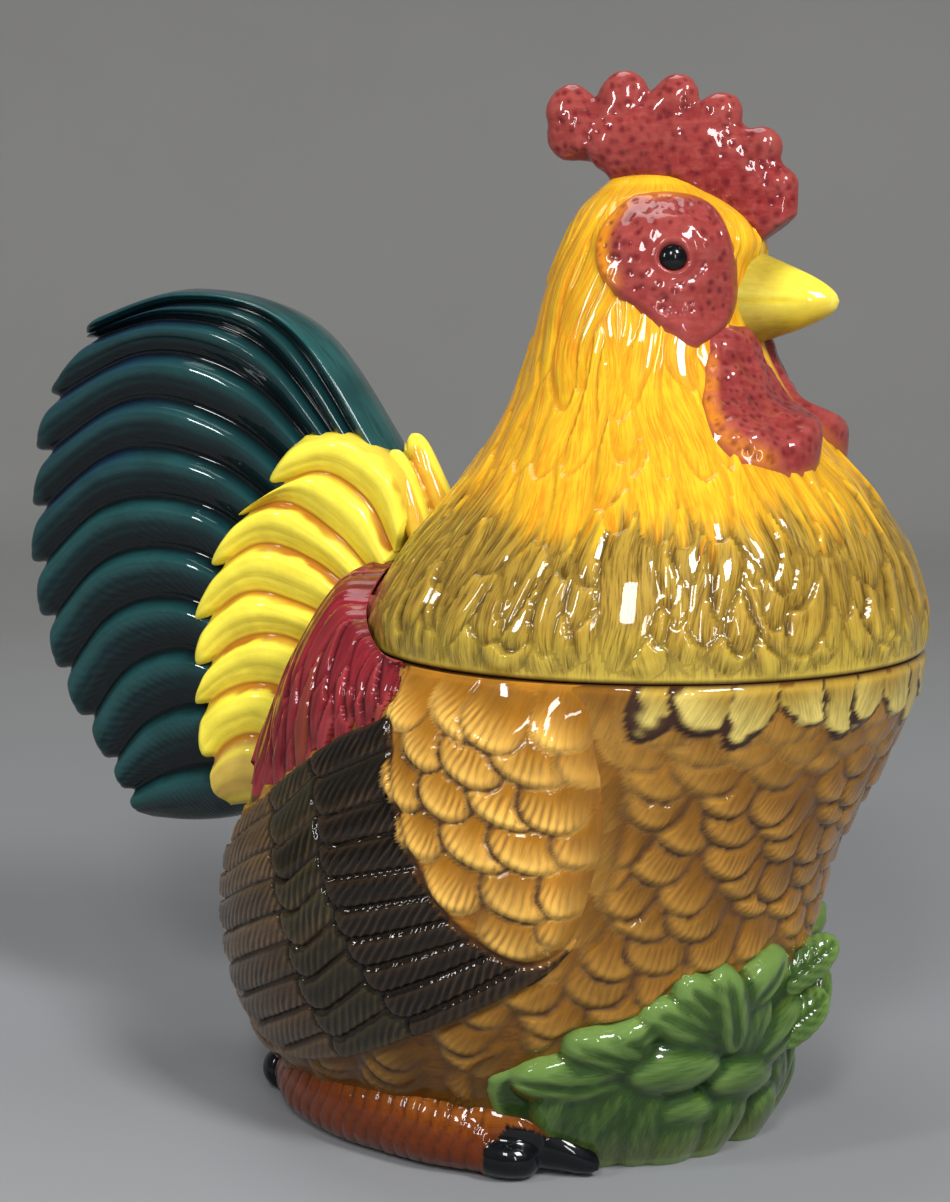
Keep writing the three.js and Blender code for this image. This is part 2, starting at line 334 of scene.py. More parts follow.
def fused(name, shells, voxel, rounds):
    """One closed skin over several overlapping closed shells."""
    verts, faces, start = [], [], 0
    for shell_verts, shell_faces in shells:
        verts.append(shell_verts)
        faces.extend([[i + start for i in f] for f in shell_faces])
        start += len(shell_verts)
    raw = bpy.data.objects.new(name + "_raw", make_mesh(name + "_raw", np.concatenate(verts), faces))
    bpy.context.collection.objects.link(raw)
    remesh = raw.modifiers.new("fuse", "REMESH")
    remesh.mode = "VOXEL"
    remesh.voxel_size = voxel * MM
    evaluated = raw.evaluated_get(bpy.context.evaluated_depsgraph_get())
    mesh = bpy.data.meshes.new_from_object(evaluated)
    bpy.data.objects.remove(raw)
    mesh.name = name
    write_verts(mesh, relaxed(read_verts(mesh), read_edges(mesh), rounds))
    return mesh


def tube(path, across, out, facing, sides=20, square=2.0):
    """A closed tube of oval section: across and out are its half sizes, facing is its outward side."""
    path = np.asarray(path, float)
    across = np.broadcast_to(across, len(path))
    out = np.broadcast_to(out, len(path))
    tangent = unit(np.gradient(path, axis=0))
    facing = np.broadcast_to(np.asarray(facing, float), path.shape)
    side = unit(np.cross(tangent, facing))
    lift = unit(np.cross(side, tangent))
    turn = np.arange(sides) / sides * TAU
    c = np.sign(np.cos(turn)) * np.abs(np.cos(turn)) ** (2 / square)
    s = np.sign(np.sin(turn)) * np.abs(np.sin(turn)) ** (2 / square)
    rings = (path[:, None] + side[:, None] * (across[:, None] * c)[..., None]
             + lift[:, None] * (out[:, None] * s)[..., None])
    return capped(rings, path[0], path[-1])


def nearest_on(paths, points):
    """For each point, the nearest path's number, the fraction along it and the offset from it."""
    best = np.full(len(points), np.inf)
    which = np.zeros(len(points), int)
    fraction = np.zeros(len(points))
    offset = np.zeros((len(points), 3))
    for k, path in enumerate(paths):
        for chunk in np.array_split(np.arange(len(points)), max(1, len(points) // 20000)):
            gap = points[chunk, None] - path[None]
            squared = (gap ** 2).sum(-1)
            i = squared.argmin(1)
            closer = squared[np.arange(len(chunk)), i] < best[chunk]
            rows = chunk[closer]
            best[rows] = squared[np.arange(len(chunk)), i][closer]
            which[rows] = k
            fraction[rows] = i[closer] / (len(path) - 1)
            offset[rows] = gap[np.arange(len(chunk)), i][closer]
    return which, fraction, offset


# --- Feathers carved into a smooth surface ---

class Relief:
    """Height, paint and brush direction over the points of a surface, stamped one feather at a time."""

    def __init__(self, points, normals, paint, brush):
        self.points, self.normals = points.reshape(-1, 3), normals.reshape(-1, 3)
        count = len(self.points)
        self.height = np.zeros(count)
        self.paint = np.tile(np.asarray(paint, float), (count, 1))
        self.brush = np.tile(np.asarray(brush, float), (count, 1))
        self.flow = self.points.copy()
        self.barb = np.zeros((count, 2))

    def spread(self, root, direction, reach):
        """The points near a root, with their distances along and across a direction."""
        normal = self.normals[((self.points - root) ** 2).sum(1).argmin()]
        ahead = unit(direction - normal * np.dot(direction, normal))
        rows = np.flatnonzero(((self.points - root) ** 2).sum(1) < reach * reach)
        gap = self.points[rows] - root
        return rows, gap @ ahead, gap @ np.cross(normal, ahead)

    def feather(self, rows, a, b, length, half, lift, paint, brush, rounding=0.45,
                power=2.3, barbs=0.0, pitch=2.4, fan=0, edge=1.6, slope=0.65, lean=(0.8, 0.6, 0.6),
                crown=0.25):
        """Stamps one feather: a and b are distances along and across it from its root."""
        s, t = a / length, b / half
        tip = np.clip((s - 1 + rounding) / rounding, 0, None)
        q = (np.abs(t) ** power + tip ** power) ** (1 / power)
        inside = (q < 1) & (s > 0)
        rows, s, t, q, a, b = (v[inside] for v in (rows, s, t, q, a, b))
        rim = (1 - q) * min(half, length * rounding)
        shape = lift * (1 - slope + slope * s) * (1 - crown * t * t) * smooth(0, edge, rim) ** 0.7
        if fan:
            phase = fan * t / (0.55 + 0.45 * s) / 2
            strength = smooth(0.4, 1.6, rim) * smooth(0.30, 0.55, s)
        else:
            phase = (a * lean[0] - np.where(b > 0, b * lean[1], -b * lean[2])) / pitch
            strength = smooth(0.3, 1.5, rim) * (1 if lean[2] > 0 else 0.15 + 0.85 * smooth(-0.6, 0.3, t))
        self.height[rows] = shape + 0.4 * barbs * np.sin(TAU * phase) * strength
        self.barb[rows] = np.stack([phase, strength * min(1.0, 3.5 * barbs)], -1)
        number = rng.random() * 900
        self.paint[rows] = paint(s, t, rim) if callable(paint) else paint
        self.brush[rows] = brush(s, t, rim) if callable(brush) else brush
        self.flow[rows] = np.stack([b, a, np.full(len(a), number)], -1)
        return rows

    def raised(self):
        return self.points + self.normals * self.height[:, None]


# --- Materials ---

class Nodes:
    """A short way to write a node tree."""

    def __init__(self, name):
        self.material = bpy.data.materials.new(name)
        self.material.use_nodes = True
        self.tree = self.material.node_tree
        self.shader = self.tree.nodes["Principled BSDF"]

    def add(self, kind, inputs=None, **settings):
        node = self.tree.nodes.new("ShaderNode" + kind)
        for key, value in settings.items():
            setattr(node, key, value)
        for key, value in (inputs or {}).items():
            self.put(node.inputs[key], value)
        return node

    def put(self, socket, value):
        if isinstance(value, bpy.types.NodeSocket):
            self.tree.links.new(value, socket)
        else:
            socket.default_value = value

    def attribute(self, name, output):
        return self.add("Attribute", attribute_name=name).outputs[output]

    def stretch(self, vector, scale):
        node = self.add("VectorMath", {0: vector, 1: scale}, operation="MULTIPLY")
        return node.outputs["Vector"]

    def noise(self, vector, scale, detail=3.0, roughness=0.55):
        inputs = {"Vector": vector, "Scale": scale, "Detail": detail, "Roughness": roughness}
        return self.add("TexNoise", inputs).outputs["Fac"]

    def between(self, value, lo, hi, to_lo=0.0, to_hi=1.0):
        inputs = {"Value": value, "From Min": lo, "From Max": hi, "To Min": to_lo, "To Max": to_hi}
        return self.add("MapRange", inputs).outputs["Result"]

    def mix(self, factor, a, b, mode="MIX"):
        node = self.add("Mix", data_type="RGBA", blend_type=mode)
        for key, value in ((0, factor), (6, a), (7, b)):
            if not isinstance(value, bpy.types.NodeSocket) and key:
                value = (*value, 1.0)
            self.put(node.inputs[key], value)
        return node.outputs[2]

    def maths(self, kind, a, b):
        return self.add("Math", {0: a, 1: b}, operation=kind).outputs[0]


def glaze(name, strokes=0.6, fineness=1.0, gloss=0.04, bump=0.3, groove=0.4, crest=0.4):
    """Clear gloss over brushed underglaze: darker in hollows, where glaze pools and as painted shade, and paler
    on crests, where it runs thin and as painted highlight.

    The barbs of each feather are fine ridges with painted lines: deep colour in their grooves and the pale
    crest colour on their crests, which also serve as painted shade and painted highlight on the ridges.
    """
    n = Nodes(name)
    flow = n.attribute("flow", "Vector")
    place = n.add("TexCoord").outputs["Object"]
    fine = n.noise(n.stretch(flow, (1.9 * fineness, 0.16 * fineness, 1.0)), 1.0, 4.0, 0.6)
    broad = n.noise(n.stretch(flow, (0.42 * fineness, 0.045 * fineness, 1.0)), 1.0, 2.0, 0.5)
    both = n.maths("ADD", n.maths("MULTIPLY", fine, 0.55), n.maths("MULTIPLY", broad, 0.45))
    streak = n.between(both, 0.44, 0.60)
    colour = n.mix(n.maths("MULTIPLY", streak, strokes), n.attribute("paint", "Color"),
                   n.attribute("paint_brush", "Color"))
    blotch = n.between(n.noise(place, 90.0, 3.0), 0.25, 0.75, 0.84, 1.16)
    grey = n.add("CombineXYZ", {0: blotch, 1: blotch, 2: blotch}).outputs[0]
    colour = n.mix(1.0, colour, grey, "MULTIPLY")
    # Hollows take the deep colour and crests the pale crest colour: pooled and thin glaze, and also painted
    # shade and painted highlight.
    pool_and_shade = n.attribute("pool_and_shade", "Fac")
    ragged = n.maths("ADD", pool_and_shade, n.between(fine, 0.3, 0.7, -0.10, 0.10))
    colour = n.mix(n.between(ragged, 0.02, 0.95, 0.0, 0.95), colour, n.attribute("paint_deep_shade", "Color"))
    colour = n.mix(n.between(ragged, -0.08, -0.75, 0.0, 0.55), colour, n.attribute("paint_bare_highlight", "Color"))
    wobble = n.between(n.noise(n.stretch(flow, (0.10, 0.10, 1.0)), 1.0, 1.0), 0.3, 0.7, -0.25, 0.25)
    turns = n.maths("ADD", n.attribute("barb_phase", "Fac"), wobble)
    worn = n.between(n.noise(place, 75.0, 2.0), 0.35, 0.60, 0.25, 1.0)
    strength = n.maths("MULTIPLY", n.attribute("barb", "Fac"), worn)
    ridge = n.maths("MULTIPLY", n.maths("SINE", n.maths("MULTIPLY", turns, TAU), 0.0), strength)
    # Barb grooves take the deep colour and barb crests the pale colour: painted lines, and also painted shade
    # and painted highlight on the ridges.
    colour = n.mix(n.between(ridge, -0.1, -1.0, 0.0, groove), colour, n.attribute("paint_deep_shade", "Color"))
    colour = n.mix(n.between(ridge, 0.25, 0.95, 0.0, crest), colour, n.attribute("paint_bare_highlight", "Color"))
    colour = n.mix(n.attribute("pit", "Fac"), colour, RED_DARK)
    speck = n.between(n.noise(place, 520.0, 1.0), 0.80, 0.84, 0.0, 0.5)
    colour = n.mix(speck, colour, BROWN)
    n.put(n.shader.inputs["Base Color"], colour)
    grain = n.maths("ADD", n.maths("MULTIPLY", fine, 0.5), n.noise(place, 260.0, 2.0))
    grain = n.maths("ADD", grain, n.maths("MULTIPLY", ridge, 0.9))
    bumped = n.add("Bump", {"Height": grain, "Strength": bump, "Distance": 0.0004})
    n.put(n.shader.inputs["Normal"], bumped.outputs[0])
    n.put(n.shader.inputs["Roughness"], n.between(broad, 0.3, 0.7, 0.30, 0.42))
    for socket, value in (("IOR", 1.5), ("Specular IOR Level", 0.05), ("Coat Weight", 0.85),
                          ("Coat Roughness", gloss), ("Coat IOR", 1.40)):
        n.shader.inputs[socket].default_value = value
    return n.material


jar_glaze = glaze("jar_glaze", strokes=0.75)
lid_glaze = glaze("lid_glaze", strokes=0.9, bump=0.5)
wing_glaze = glaze("wing_glaze", strokes=0.7, groove=0.6, crest=0.75)
tail_glaze = glaze("tail_glaze", strokes=0.6, groove=0.4, crest=0.22)
covert_glaze = glaze("covert_glaze", strokes=0.3, fineness=0.7)
saddle_glaze = glaze("saddle_glaze", strokes=0.7)
comb_glaze = glaze("comb_glaze", strokes=0.55, fineness=0.8)
beak_glaze = glaze("beak_glaze", strokes=0.4)
foot_glaze = glaze("foot_glaze", strokes=0.6)
leaf_glaze = glaze("leaf_glaze", strokes=0.5)
black_glaze = glaze("black_glaze", strokes=0.3)


# --- Outlines and patches laid on a body ---

def loop(points, count):
    """A smooth closed curve through a few points."""
    points = np.asarray(points, float)
    padded = np.concatenate([points[-3:], points, points[:4]])
    return hermite(np.linspace(3, 3 + len(points), count, endpoint=False), np.arange(len(padded)), padded)


def depth_inside(points, outline):
    """Distance in a plane from each point to a closed outline, positive inside it."""
    nearest = np.full(len(points), np.inf)
    inside = np.zeros(len(points), bool)
    for a, b in zip(outline, np.roll(outline, -1, 0)):
        edge = b - a
        t = np.clip(((points - a) @ edge) / max(edge @ edge, 1e-9), 0, 1)
        nearest = np.minimum(nearest, np.linalg.norm(points - a - t[:, None] * edge, axis=1))
        crosses = (a[1] > points[:, 1]) != (b[1] > points[:, 1])
        if a[1] != b[1]:
            inside ^= crosses & (points[:, 0] < edge[0] * (points[:, 1] - a[1]) / edge[1] + a[0])
    return np.where(inside, nearest, -nearest)


def patch(top, bottom, kept):
    """A closed slab over the kept cells of a grid, between a top sheet and a bottom sheet."""
    rows, cols = top.shape[:2]
    count = rows * cols
    cells = grid_faces(rows, cols, False)[kept.ravel()]
    faces = [cells, cells[:, ::-1] + count]
    edges = np.concatenate([cells[:, [i, (i + 1) % 4]] for i in range(4)])
    keys = edges[:, 0] * count + edges[:, 1]
    lone = ~np.isin(keys, edges[:, 1] * count + edges[:, 0])
    a, b = edges[lone].T
    faces.append(np.stack([b, a, a + count, b + count], -1))
    faces = np.concatenate(faces)
    used, faces = np.unique(faces, return_inverse=True)
    faces = faces.reshape(-1, 4)
    verts = np.concatenate([top.reshape(-1, 3), bottom.reshape(-1, 3)])[used]
    a, b, c, d = (verts[faces[:, i]] for i in range(4))
    if ((a * np.cross(b, c)).sum() + (a * np.cross(c, d)).sum()) < 0:
        faces = faces[:, ::-1]
    return verts, faces, used


def doubled(used, *values):
    """Values at the points of a sheet, as values at the points of the slab made from it."""
    return [np.concatenate([v, v])[used] for v in values]


def sheet(guides, knots, across, forward):
    """A surface through guide curves: a row of points for each place across, one point per place forward."""
    guides = np.asarray(guides, float)
    count, stops, size = guides.shape
    lines = np.stack([hermite(forward * (stops - 1), np.arange(stops), guide) for guide in guides])
    return hermite(across, knots, lines.reshape(count, -1)).reshape(len(across), len(forward), size)


def shortened(grid, ends):
    """Each row of a grid of points cut at its own fraction and spread out evenly again."""
    place = np.linspace(0, 1, grid.shape[1])
    rows = [[np.interp(place * end, place, line) for line in row.T] for row, end in zip(grid, ends)]
    return np.array(rows).transpose(0, 2, 1)


def rounded(distance, radius):
    """The profile of a rounded edge: 0 at the edge and 1 a radius inside it."""
    return np.sqrt(1 - (1 - np.clip(distance / radius, 0, 1)) ** 2)


def cells_above(height, limit):
    high = height > limit
    return high[:-1, :-1] | high[1:, :-1] | high[:-1, 1:] | high[1:, 1:]


def flipped(verts, faces):
    """The mirror image on the bird's other side."""
    return verts * (-1, 1, 1), [list(f)[::-1] for f in faces]


# --- What lies on the jar, in the order (y, z) on the right flank ---

WING_EDGE = [(17, 154), (24, 136), (40, 127), (57, 115), (72, 103), (86, 90), (91, 72), (86, 50), (74, 34),
             (58, 28), (37, 34), (18, 43), (2, 51), (-12, 59), (-24, 66), (-34, 77), (-41, 94), (-45, 112),
             (-44, 132), (-36, 154)]
LOBE_EDGE = [(15, 154), (22, 136), (20, 121), (16, 107), (10, 94), (2, 83), (-7, 75), (-16, 70), (-25, 71),
             (-33, 78), (-39, 92), (-43, 110), (-42, 128), (-34, 154)]
COLUMN_EDGES = [[(21, 134), (18, 116), (13, 102), (7, 90), (0, 81), (-9, 74), (-20, 70), (-33, 76)],
                [(50, 121), (44, 109), (40, 98), (35, 85), (29, 73), (21, 61), (10, 50), (-4, 54)],
                [(67, 106), (62, 95), (58, 84), (54, 72), (50, 59), (44, 48), (36, 38), (22, 40)],
                [(88, 92), (90, 82), (90, 70), (86, 58), (80, 46), (72, 36), (62, 28), (50, 27)]]
COLUMN_COUNTS = [11, 10, 10]
# millimetres per radian where the flank, and the leaves round the base, are laid out flat
CHART = 88.0
LEAF_CHART = 72.0

# the edge of the leaves, by degrees round from the breast and height
LEAF_EDGE = [(-80, 26), (-78, 36), (-71, 41), (-66, 42), (-60, 49), (-49, 52), (-42, 61), (-33, 63),
             (-24, 64), (-19, 68), (-9, 60), (9, 60), (19, 68), (24, 64), (33, 63), (42, 61), (49, 52),
             (60, 49), (66, 42), (71, 41), (78, 36), (80, 26), (80, 14), (78, -6), (-78, -6), (-80, 14)]


def flank_chart(body, outline):
    """A closed outline given by y and z, laid out flat: round the right flank and up."""
    return np.array([(body.angle_at(y, min(z, RIM)) * CHART, z) for y, z in loop(outline, 160)])


def flank_depth(angle, z, outline):
    """How far inside an outline on either flank a place is."""
    chart = np.stack([-np.abs(angle).ravel() * CHART, z.ravel()], -1)
    return depth_inside(chart, flank_chart(jar, outline))


def leaf_depth(angle, z):
    edge = loop(LEAF_EDGE, 200) * (math.radians(1) * CHART, 1)
    return depth_inside(np.stack([angle.ravel() * CHART, z.ravel()], -1), edge)


# --- The jar ---

STEP = 0.95
COLS = int(TAU * 86 / STEP)
JAR_WALL = 5.5
LID_WALL = 5.0
FLOOR = 7.0


def surface_grid(body, angles, heights, out=0.0):
    grid_angle, grid_z = np.meshgrid(angles, heights)
    return body.at(grid_angle, grid_z, out), body.normal(grid_angle, grid_z)


def rearward(y):
    """How far the lie of the feathers has turned from straight down towards the tail."""
    return 0.12 + 1.05 * smooth(-60, 60, y)


def lie(body, angle, z):
    """The direction in which feathers lie at a place: down, turning to the rear along the flank."""
    place = body.at(angle, z)
    down = body.at(angle, z - 1.5) - body.at(angle, z + 1.5)
    back = body.at(angle + 0.02 * np.sign(angle + 1e-9), z) - place
    turn = rearward(place[1])
    return place, unit(unit(down) * math.cos(turn) + unit(back) * math.sin(turn))


def scale_paint(shade, pale=0.4):
    """Ochre feather colours: golden tips, browner roots, a shade of its own for each feather."""
    def paint(s, t, rim):
        colour = blend(np.multiply(OCHRE, 0.8), OCHRE, smooth(0.1, 0.7, s))
        colour = blend(colour, OCHRE_LIGHT, pale * smooth(0.3, 1.0, s))
        return colour * shade
    return paint


def rim_tongues(relief):
    """The pale feather tips with dark brushed outlines under the mouth, across the breast."""
    for k, angle in enumerate(np.linspace(-1.19, 1.19, 16)):
        drop = (19, 17, 22, 15, 20)[k % 5]
        half = (8.0, 11.5, 7.5, 10.5, 9.0)[k % 5]
        place = jar.at(angle, RIM + 1.0)
        down = unit(jar.at(angle + rng.uniform(-0.06, 0.06), RIM - 8.0) - place)
        rows, a, b = relief.spread(place, down, drop + 8)
        thick = 3.2 if abs(angle) > 0.9 else rng.uniform(0.9, 1.7)

        def paint(s, t, rim, k=k, thick=thick):
            ragged = 0.8 * np.sin(9 * s + 2.1 * k) + 0.5 * np.sin(23 * s + k)
            dark = 1 - smooth(0.6 * thick, 1.2 * thick, rim + ragged)
            return blend(blend(MUSTARD, STRAW, smooth(0.1, 0.7, s)), BROWN, np.clip(dark, 0, 1))

        def brush(s, t, rim, paint=paint):
            return paint(s, t, rim) * 0.55

        relief.feather(rows, a, b, drop, half, 1.4, paint, brush, rounding=0.8,
                       power=1.8, edge=1.6, barbs=0.10, pitch=2.4, lean=(0, 1, 1))


def make_jar():
    cols = COLS
    angles = np.linspace(-math.pi, math.pi, cols, endpoint=False)
    heights = np.linspace(0.02, RIM - 0.02, int(RIM * 1.12 / STEP))
    points, normals = surface_grid(jar, angles, heights)
    relief = Relief(points, normals, OCHRE, OCHRE_DARK)
    row_rise, spacing = 8.6, 17.5
    levels = np.arange(0, RIM - 1, row_rise)
    for row, z in enumerate(levels):
        count = int(TAU * np.interp(z, (0, 60, RIM), (60, 92, 86)) / spacing)
        turns = (np.arange(count) + 0.5 * (row % 2)) / count * TAU - math.pi
        turns = turns[np.argsort(-np.abs(turns))]
        for angle in turns:
            angle = angle + rng.normal(0, 0.024)
            top = min(z + 12 + rng.normal(0, 1.3), RIM - 0.5)
            root, direction = lie(jar, angle, top)
            rows, a, b = relief.spread(root, direction, 24)
            shade = rng.uniform(0.86, 1.12)
            faded = 1 - 0.7 * smooth(RIM - 26, RIM - 8, top)
            length, half, lift = rng.uniform(15.5, 19), rng.uniform(8.6, 11.4), rng.uniform(1.9, 2.7)
            relief.feather(rows, a, b, length, half, lift * faded, scale_paint(shade),
                           scale_paint(shade * 0.66), barbs=0.22 * faded, fan=int(rng.integers(7, 10)),
                           edge=3.4, rounding=0.5, slope=0.8, crown=0.35)
    rim_tongues(relief)
    flat_angle, flat_z = (v.ravel() for v in np.meshgrid(angles, heights))
    clear = smooth(0.5, -2.5, flank_depth(flat_angle, flat_z, WING_EDGE))
    clear = clear * smooth(0.5, -2.0, leaf_depth(flat_angle, flat_z))
    relief.height *= clear
    relief.barb[:, 1] *= clear
    away = np.abs(flat_angle)
    beside_foot = smooth(28, 20, flat_z) * smooth(0.9, 1.1, away) * smooth(2.5, 2.2, away)
    relief.height *= 1 - 0.7 * beside_foot
    keep = smooth(0, 10, heights)[:, None] * smooth(RIM, RIM - 2.5, heights)[:, None]
    relief.height *= np.broadcast_to(keep, points.shape[:2]).ravel()
    relief.height += 0.12 * lumps(relief.points, 9.0, 1)
    outside = relief.raised().reshape(points.shape)
    lip_fall = smooth(RIM - 1.8, RIM, heights)[:, None, None] ** 2
    outside -= normals * (1, 1, 0) * 1.1 * lip_fall
    mouth = [(1.5, 0.15), (2.6, 0.3), (4.2, 0.2), (5.2, -0.5), (5.6, -1.6)]
    lip = [jar.at(angles, np.full(cols, RIM - 0.4 + rise)) - normals[-1] * inset for inset, rise in mouth]
    inner_z = np.append(np.linspace(RIM - 5, FLOOR + 6, 32), FLOOR + 2)
    inner = [jar.at(angles, np.full(cols, z), -JAR_WALL) for z in inner_z]
    bottom = inner[-1]
    centre = bottom.mean(0)
    shares = (0.96, 0.85, 0.6, 0.3, 0.08)
    floor = [centre + (bottom - centre) * f + (0, 0, -2.0 * (1 - f * f)) for f in shares]
    for ring in floor:
        ring[:, 2] = np.maximum(ring[:, 2], FLOOR)
    base = outside[0]
    base_centre = np.append(base[:, :2].mean(0), 0.0)
    under = [base_centre + (base - base_centre) * f for f in (0.1, 0.5, 0.9, 0.985)]
    for ring in under:
        ring[:, 2] = 0.0
    rings = under + list(outside) + lip + inner + floor
    verts, faces = capped(rings, base_centre, floor[-1].mean(0))
    mesh = make_mesh("jar_shell", verts, faces)
    paint = np.tile(CREAM, (len(verts), 1))
    brush = paint * 0.93
    first = len(under) * cols
    last = first + len(relief.points)
    paint[first:last], brush[first:last] = relief.paint, relief.brush
    paint[:first], brush[:first] = (0.72, 0.66, 0.55), (0.66, 0.58, 0.46)
    flow = verts * 0.4
    flow[first:last] = relief.flow
    # Darker towards the bottom: painted shade on the lower belly.
    low = 1 - 0.55 * smooth(75, 15, verts[first:last, 2:])
    paint[first:last] *= low
    brush[first:last] *= low
    # A dark brown ring round the mouth: painted shadow in the gap under the lid.
    seam_shadow = smooth(RIM - 1.3, RIM - 0.2, verts[:, 2]) * (np.arange(len(verts)) < last + 2 * cols)
    paint, brush = blend(paint, BROWN, seam_shadow), blend(brush, BROWN, seam_shadow)
    deep = brush * 0.7
    # Plum in the hollows between the scales: pooled glaze and painted shade.
    deep[first:last] = PLUM
    barb = np.zeros((len(verts), 2))
    barb[first:last] = relief.barb * (1, 0.8)
    bare_highlight = paint * 1.5
    return add_piece("jar_shell", mesh, "jar", jar_glaze, ["jar_body"], paint, brush, flow, deep,
                     bare_highlight, None, barb)


# --- The lid ---

def make_lid():
    cols = COLS
    angles = np.linspace(-math.pi, math.pi, cols, endpoint=False)
    heights = np.concatenate([np.linspace(SEAM + 0.02, 215, 92), np.linspace(215.8, 287.8, 80)])
    points, normals = surface_grid(lid, angles, heights)
    relief = Relief(points, normals, YELLOW, ORANGE)
    grid_angle, grid_z = np.meshgrid(angles, heights)
    slant = np.concatenate([[0], np.cumsum(np.linalg.norm(np.diff(points[:, cols // 4], axis=0), axis=1))])
    travel = np.broadcast_to(slant[:, None], grid_angle.shape).ravel()
    girth = np.linalg.norm(np.roll(points, -1, 1) - points, axis=-1).sum(1) / TAU
    radius = np.broadcast_to(girth[:, None], grid_angle.shape).ravel()
    flat_angle, flat_z = grid_angle.ravel(), grid_z.ravel()
    relief.flow = np.stack([flat_angle * 60, -travel, np.zeros(len(travel))], -1)
    for row, tip_z in enumerate((151, 156, 163, 173, 186, 203, 224)):
        tip_travel = np.interp(tip_z, heights, slant)
        tip_radius = np.interp(tip_z, heights, girth)
        half = np.interp(tip_z, (150, 165, 220, 270), (6.6, 6.2, 5.0, 3.6))
        count = int(TAU * tip_radius / (half * 1.6))
        for k in rng.permutation(count):
            angle = (k + 0.5 * (row % 2) + rng.normal(0, 0.25)) / count * TAU - math.pi
            length = rng.uniform(75, 125) * (0.55 if row < 2 else 1.0)
            bottom = tip_travel + rng.normal(0, 1.5 if row < 2 else 7.0)
            gap = (flat_angle - angle + math.pi) % TAU - math.pi
            a = bottom + length - travel
            rows = np.flatnonzero((np.abs(gap) * radius < 16) & (a > 0) & (a < length * 1.1))
            wave = rng.uniform(1.0, 2.8) * np.sin(a[rows] / rng.uniform(6, 11) + k * 1.7)
            b = gap[rows] * radius[rows] + wave + (rng.random() - 0.5) * a[rows] * 0.08
            b = b * (tip_radius / radius[rows]) ** 0.7
            shade = rng.uniform(0.93, 1.06)
            lift = rng.uniform(0.6, 1.6) * np.interp(tip_z, (150, 165, 200, 234), (1.3, 1.0, 0.75, 0.55))
            relief.feather(rows, a[rows], b, length, half * rng.uniform(0.7, 1.5), lift,
                           np.multiply(YELLOW, shade), np.multiply(ORANGE, shade), rounding=0.26,
                           power=1.8, edge=3.4, barbs=0.06, pitch=1.7, slope=0.1, lean=(0, 1, 1), crown=0.6)
    ragged = 13 * lumps(relief.flow * (0.75, 0.022, 1.0), 1.0, 3) + 12 * lumps(relief.points, 24.0, 4)
    dark = smooth(195, 185, flat_z + ragged)
    pale = 0.6 * smooth(166, 153, flat_z + 0.5 * ragged)
    paint = blend(relief.paint, blend(MUSTARD, (0.48, 0.37, 0.05), pale), dark)
    brush = blend(relief.brush, blend(OLIVE, (0.17, 0.11, 0.015), pale), dark)
    rear = smooth(2.35, 2.75, np.abs(flat_angle)) * smooth(176, 163, flat_z)
    relief.paint, relief.brush = blend(paint, RED_LIGHT, rear), blend(brush, RED, rear)
    relief_deep = blend(blend(DEEP_GOLD, OLIVE_DARK, dark), RED_DARK, rear)
    relief.height *= smooth(284, 270, flat_z) * smooth(SEAM, SEAM + 3, flat_z)
    relief.height += 0.12 * lumps(relief.points, 8.0, 2)
    outside = relief.raised().reshape(points.shape)
    outside -= normals * (1, 1, 0) * 1.0 * smooth(SEAM + 1.6, SEAM, heights)[:, None, None] ** 2
    inset = [(1.3, -0.12), (5.0, -0.15), (9.0, -0.15), (9.7, -0.6), (9.8, -3.0), (10.0, -7.2),
             (10.8, -7.9), (12.8, -8.0), (14.2, -7.4), (14.5, -5.0), (14.5, 2.0), (13.0, 5.0)]
    edge = lid.at(angles, np.full(cols, SEAM + 0.02))
    flat_out = unit(normals[0] * (1, 1, 0))
    under = [edge - flat_out * d + (0, 0, rise) for d, rise in reversed(inset)]
    inner = [lid.at(angles, np.full(cols, z), -LID_WALL) for z in np.linspace(282, SEAM + 14, 30)]
    rings = inner + under + list(outside)
    top_in = np.array([0.0, inner[0][:, 1].mean(), 284.5])
    top_out = np.array([0.0, outside[-1][:, 1].mean(), TOP])
    verts, faces = capped(rings, top_in, top_out)
    mesh = make_mesh("lid_cape", verts, faces)
    first = (len(inner) + len(under)) * cols
    last = first + len(relief.points)
    paint = np.tile(CREAM, (len(verts), 1))
    brush = paint * 0.93
    paint[first:last], brush[first:last] = relief.paint, relief.brush
    paint[-1], brush[-1] = YELLOW, ORANGE
    # A dark brown ring round the lid's lower edge: painted shadow in the gap over the jar.
    seam_shadow = smooth(SEAM + 1.1, SEAM + 0.2, verts[:, 2]) * (np.arange(len(verts)) > first - 3 * cols)
    paint, brush = blend(paint, BROWN, seam_shadow), blend(brush, BROWN, seam_shadow)
    flow = verts * 0.4
    flow[first:last] = relief.flow
    deep = brush * 0.7
    deep[first:last] = relief_deep
    barb = np.zeros((len(verts), 2))
    barb[first:last] = relief.barb
    return add_piece("lid_cape", mesh, "lid", lid_glaze, ["lid_shell"], paint, brush, flow, deep,
                     paint * 1.4, None, barb)


# --- The tail ---

# the upper edges of the tail's feathers by y and height, from under the coverts to the tip
TAIL_KNOTS = [0, 1, 2, 3, 4, 6, 8, 10, 12]
TAIL_LINES = [[(50, 198), (84, 244), (127, 257), (172, 246)], [(58, 198), (92, 243), (130, 252), (170, 241)],
              [(64, 198), (98, 237), (134, 247), (172, 239)], [(70, 195), (104, 227), (144, 236), (189, 217)],
              [(76, 188), (111, 214), (150, 221), (192, 198)],
              [(90, 168), (123, 187), (160, 186), (194, 159)],
              [(100, 145), (132, 156), (160, 149), (183, 123)],
              [(106, 116), (126, 121), (147, 113), (164, 94)], [(106, 84), (120, 80), (135, 78), (152, 78)]]
TAIL_FEATHERS = 12


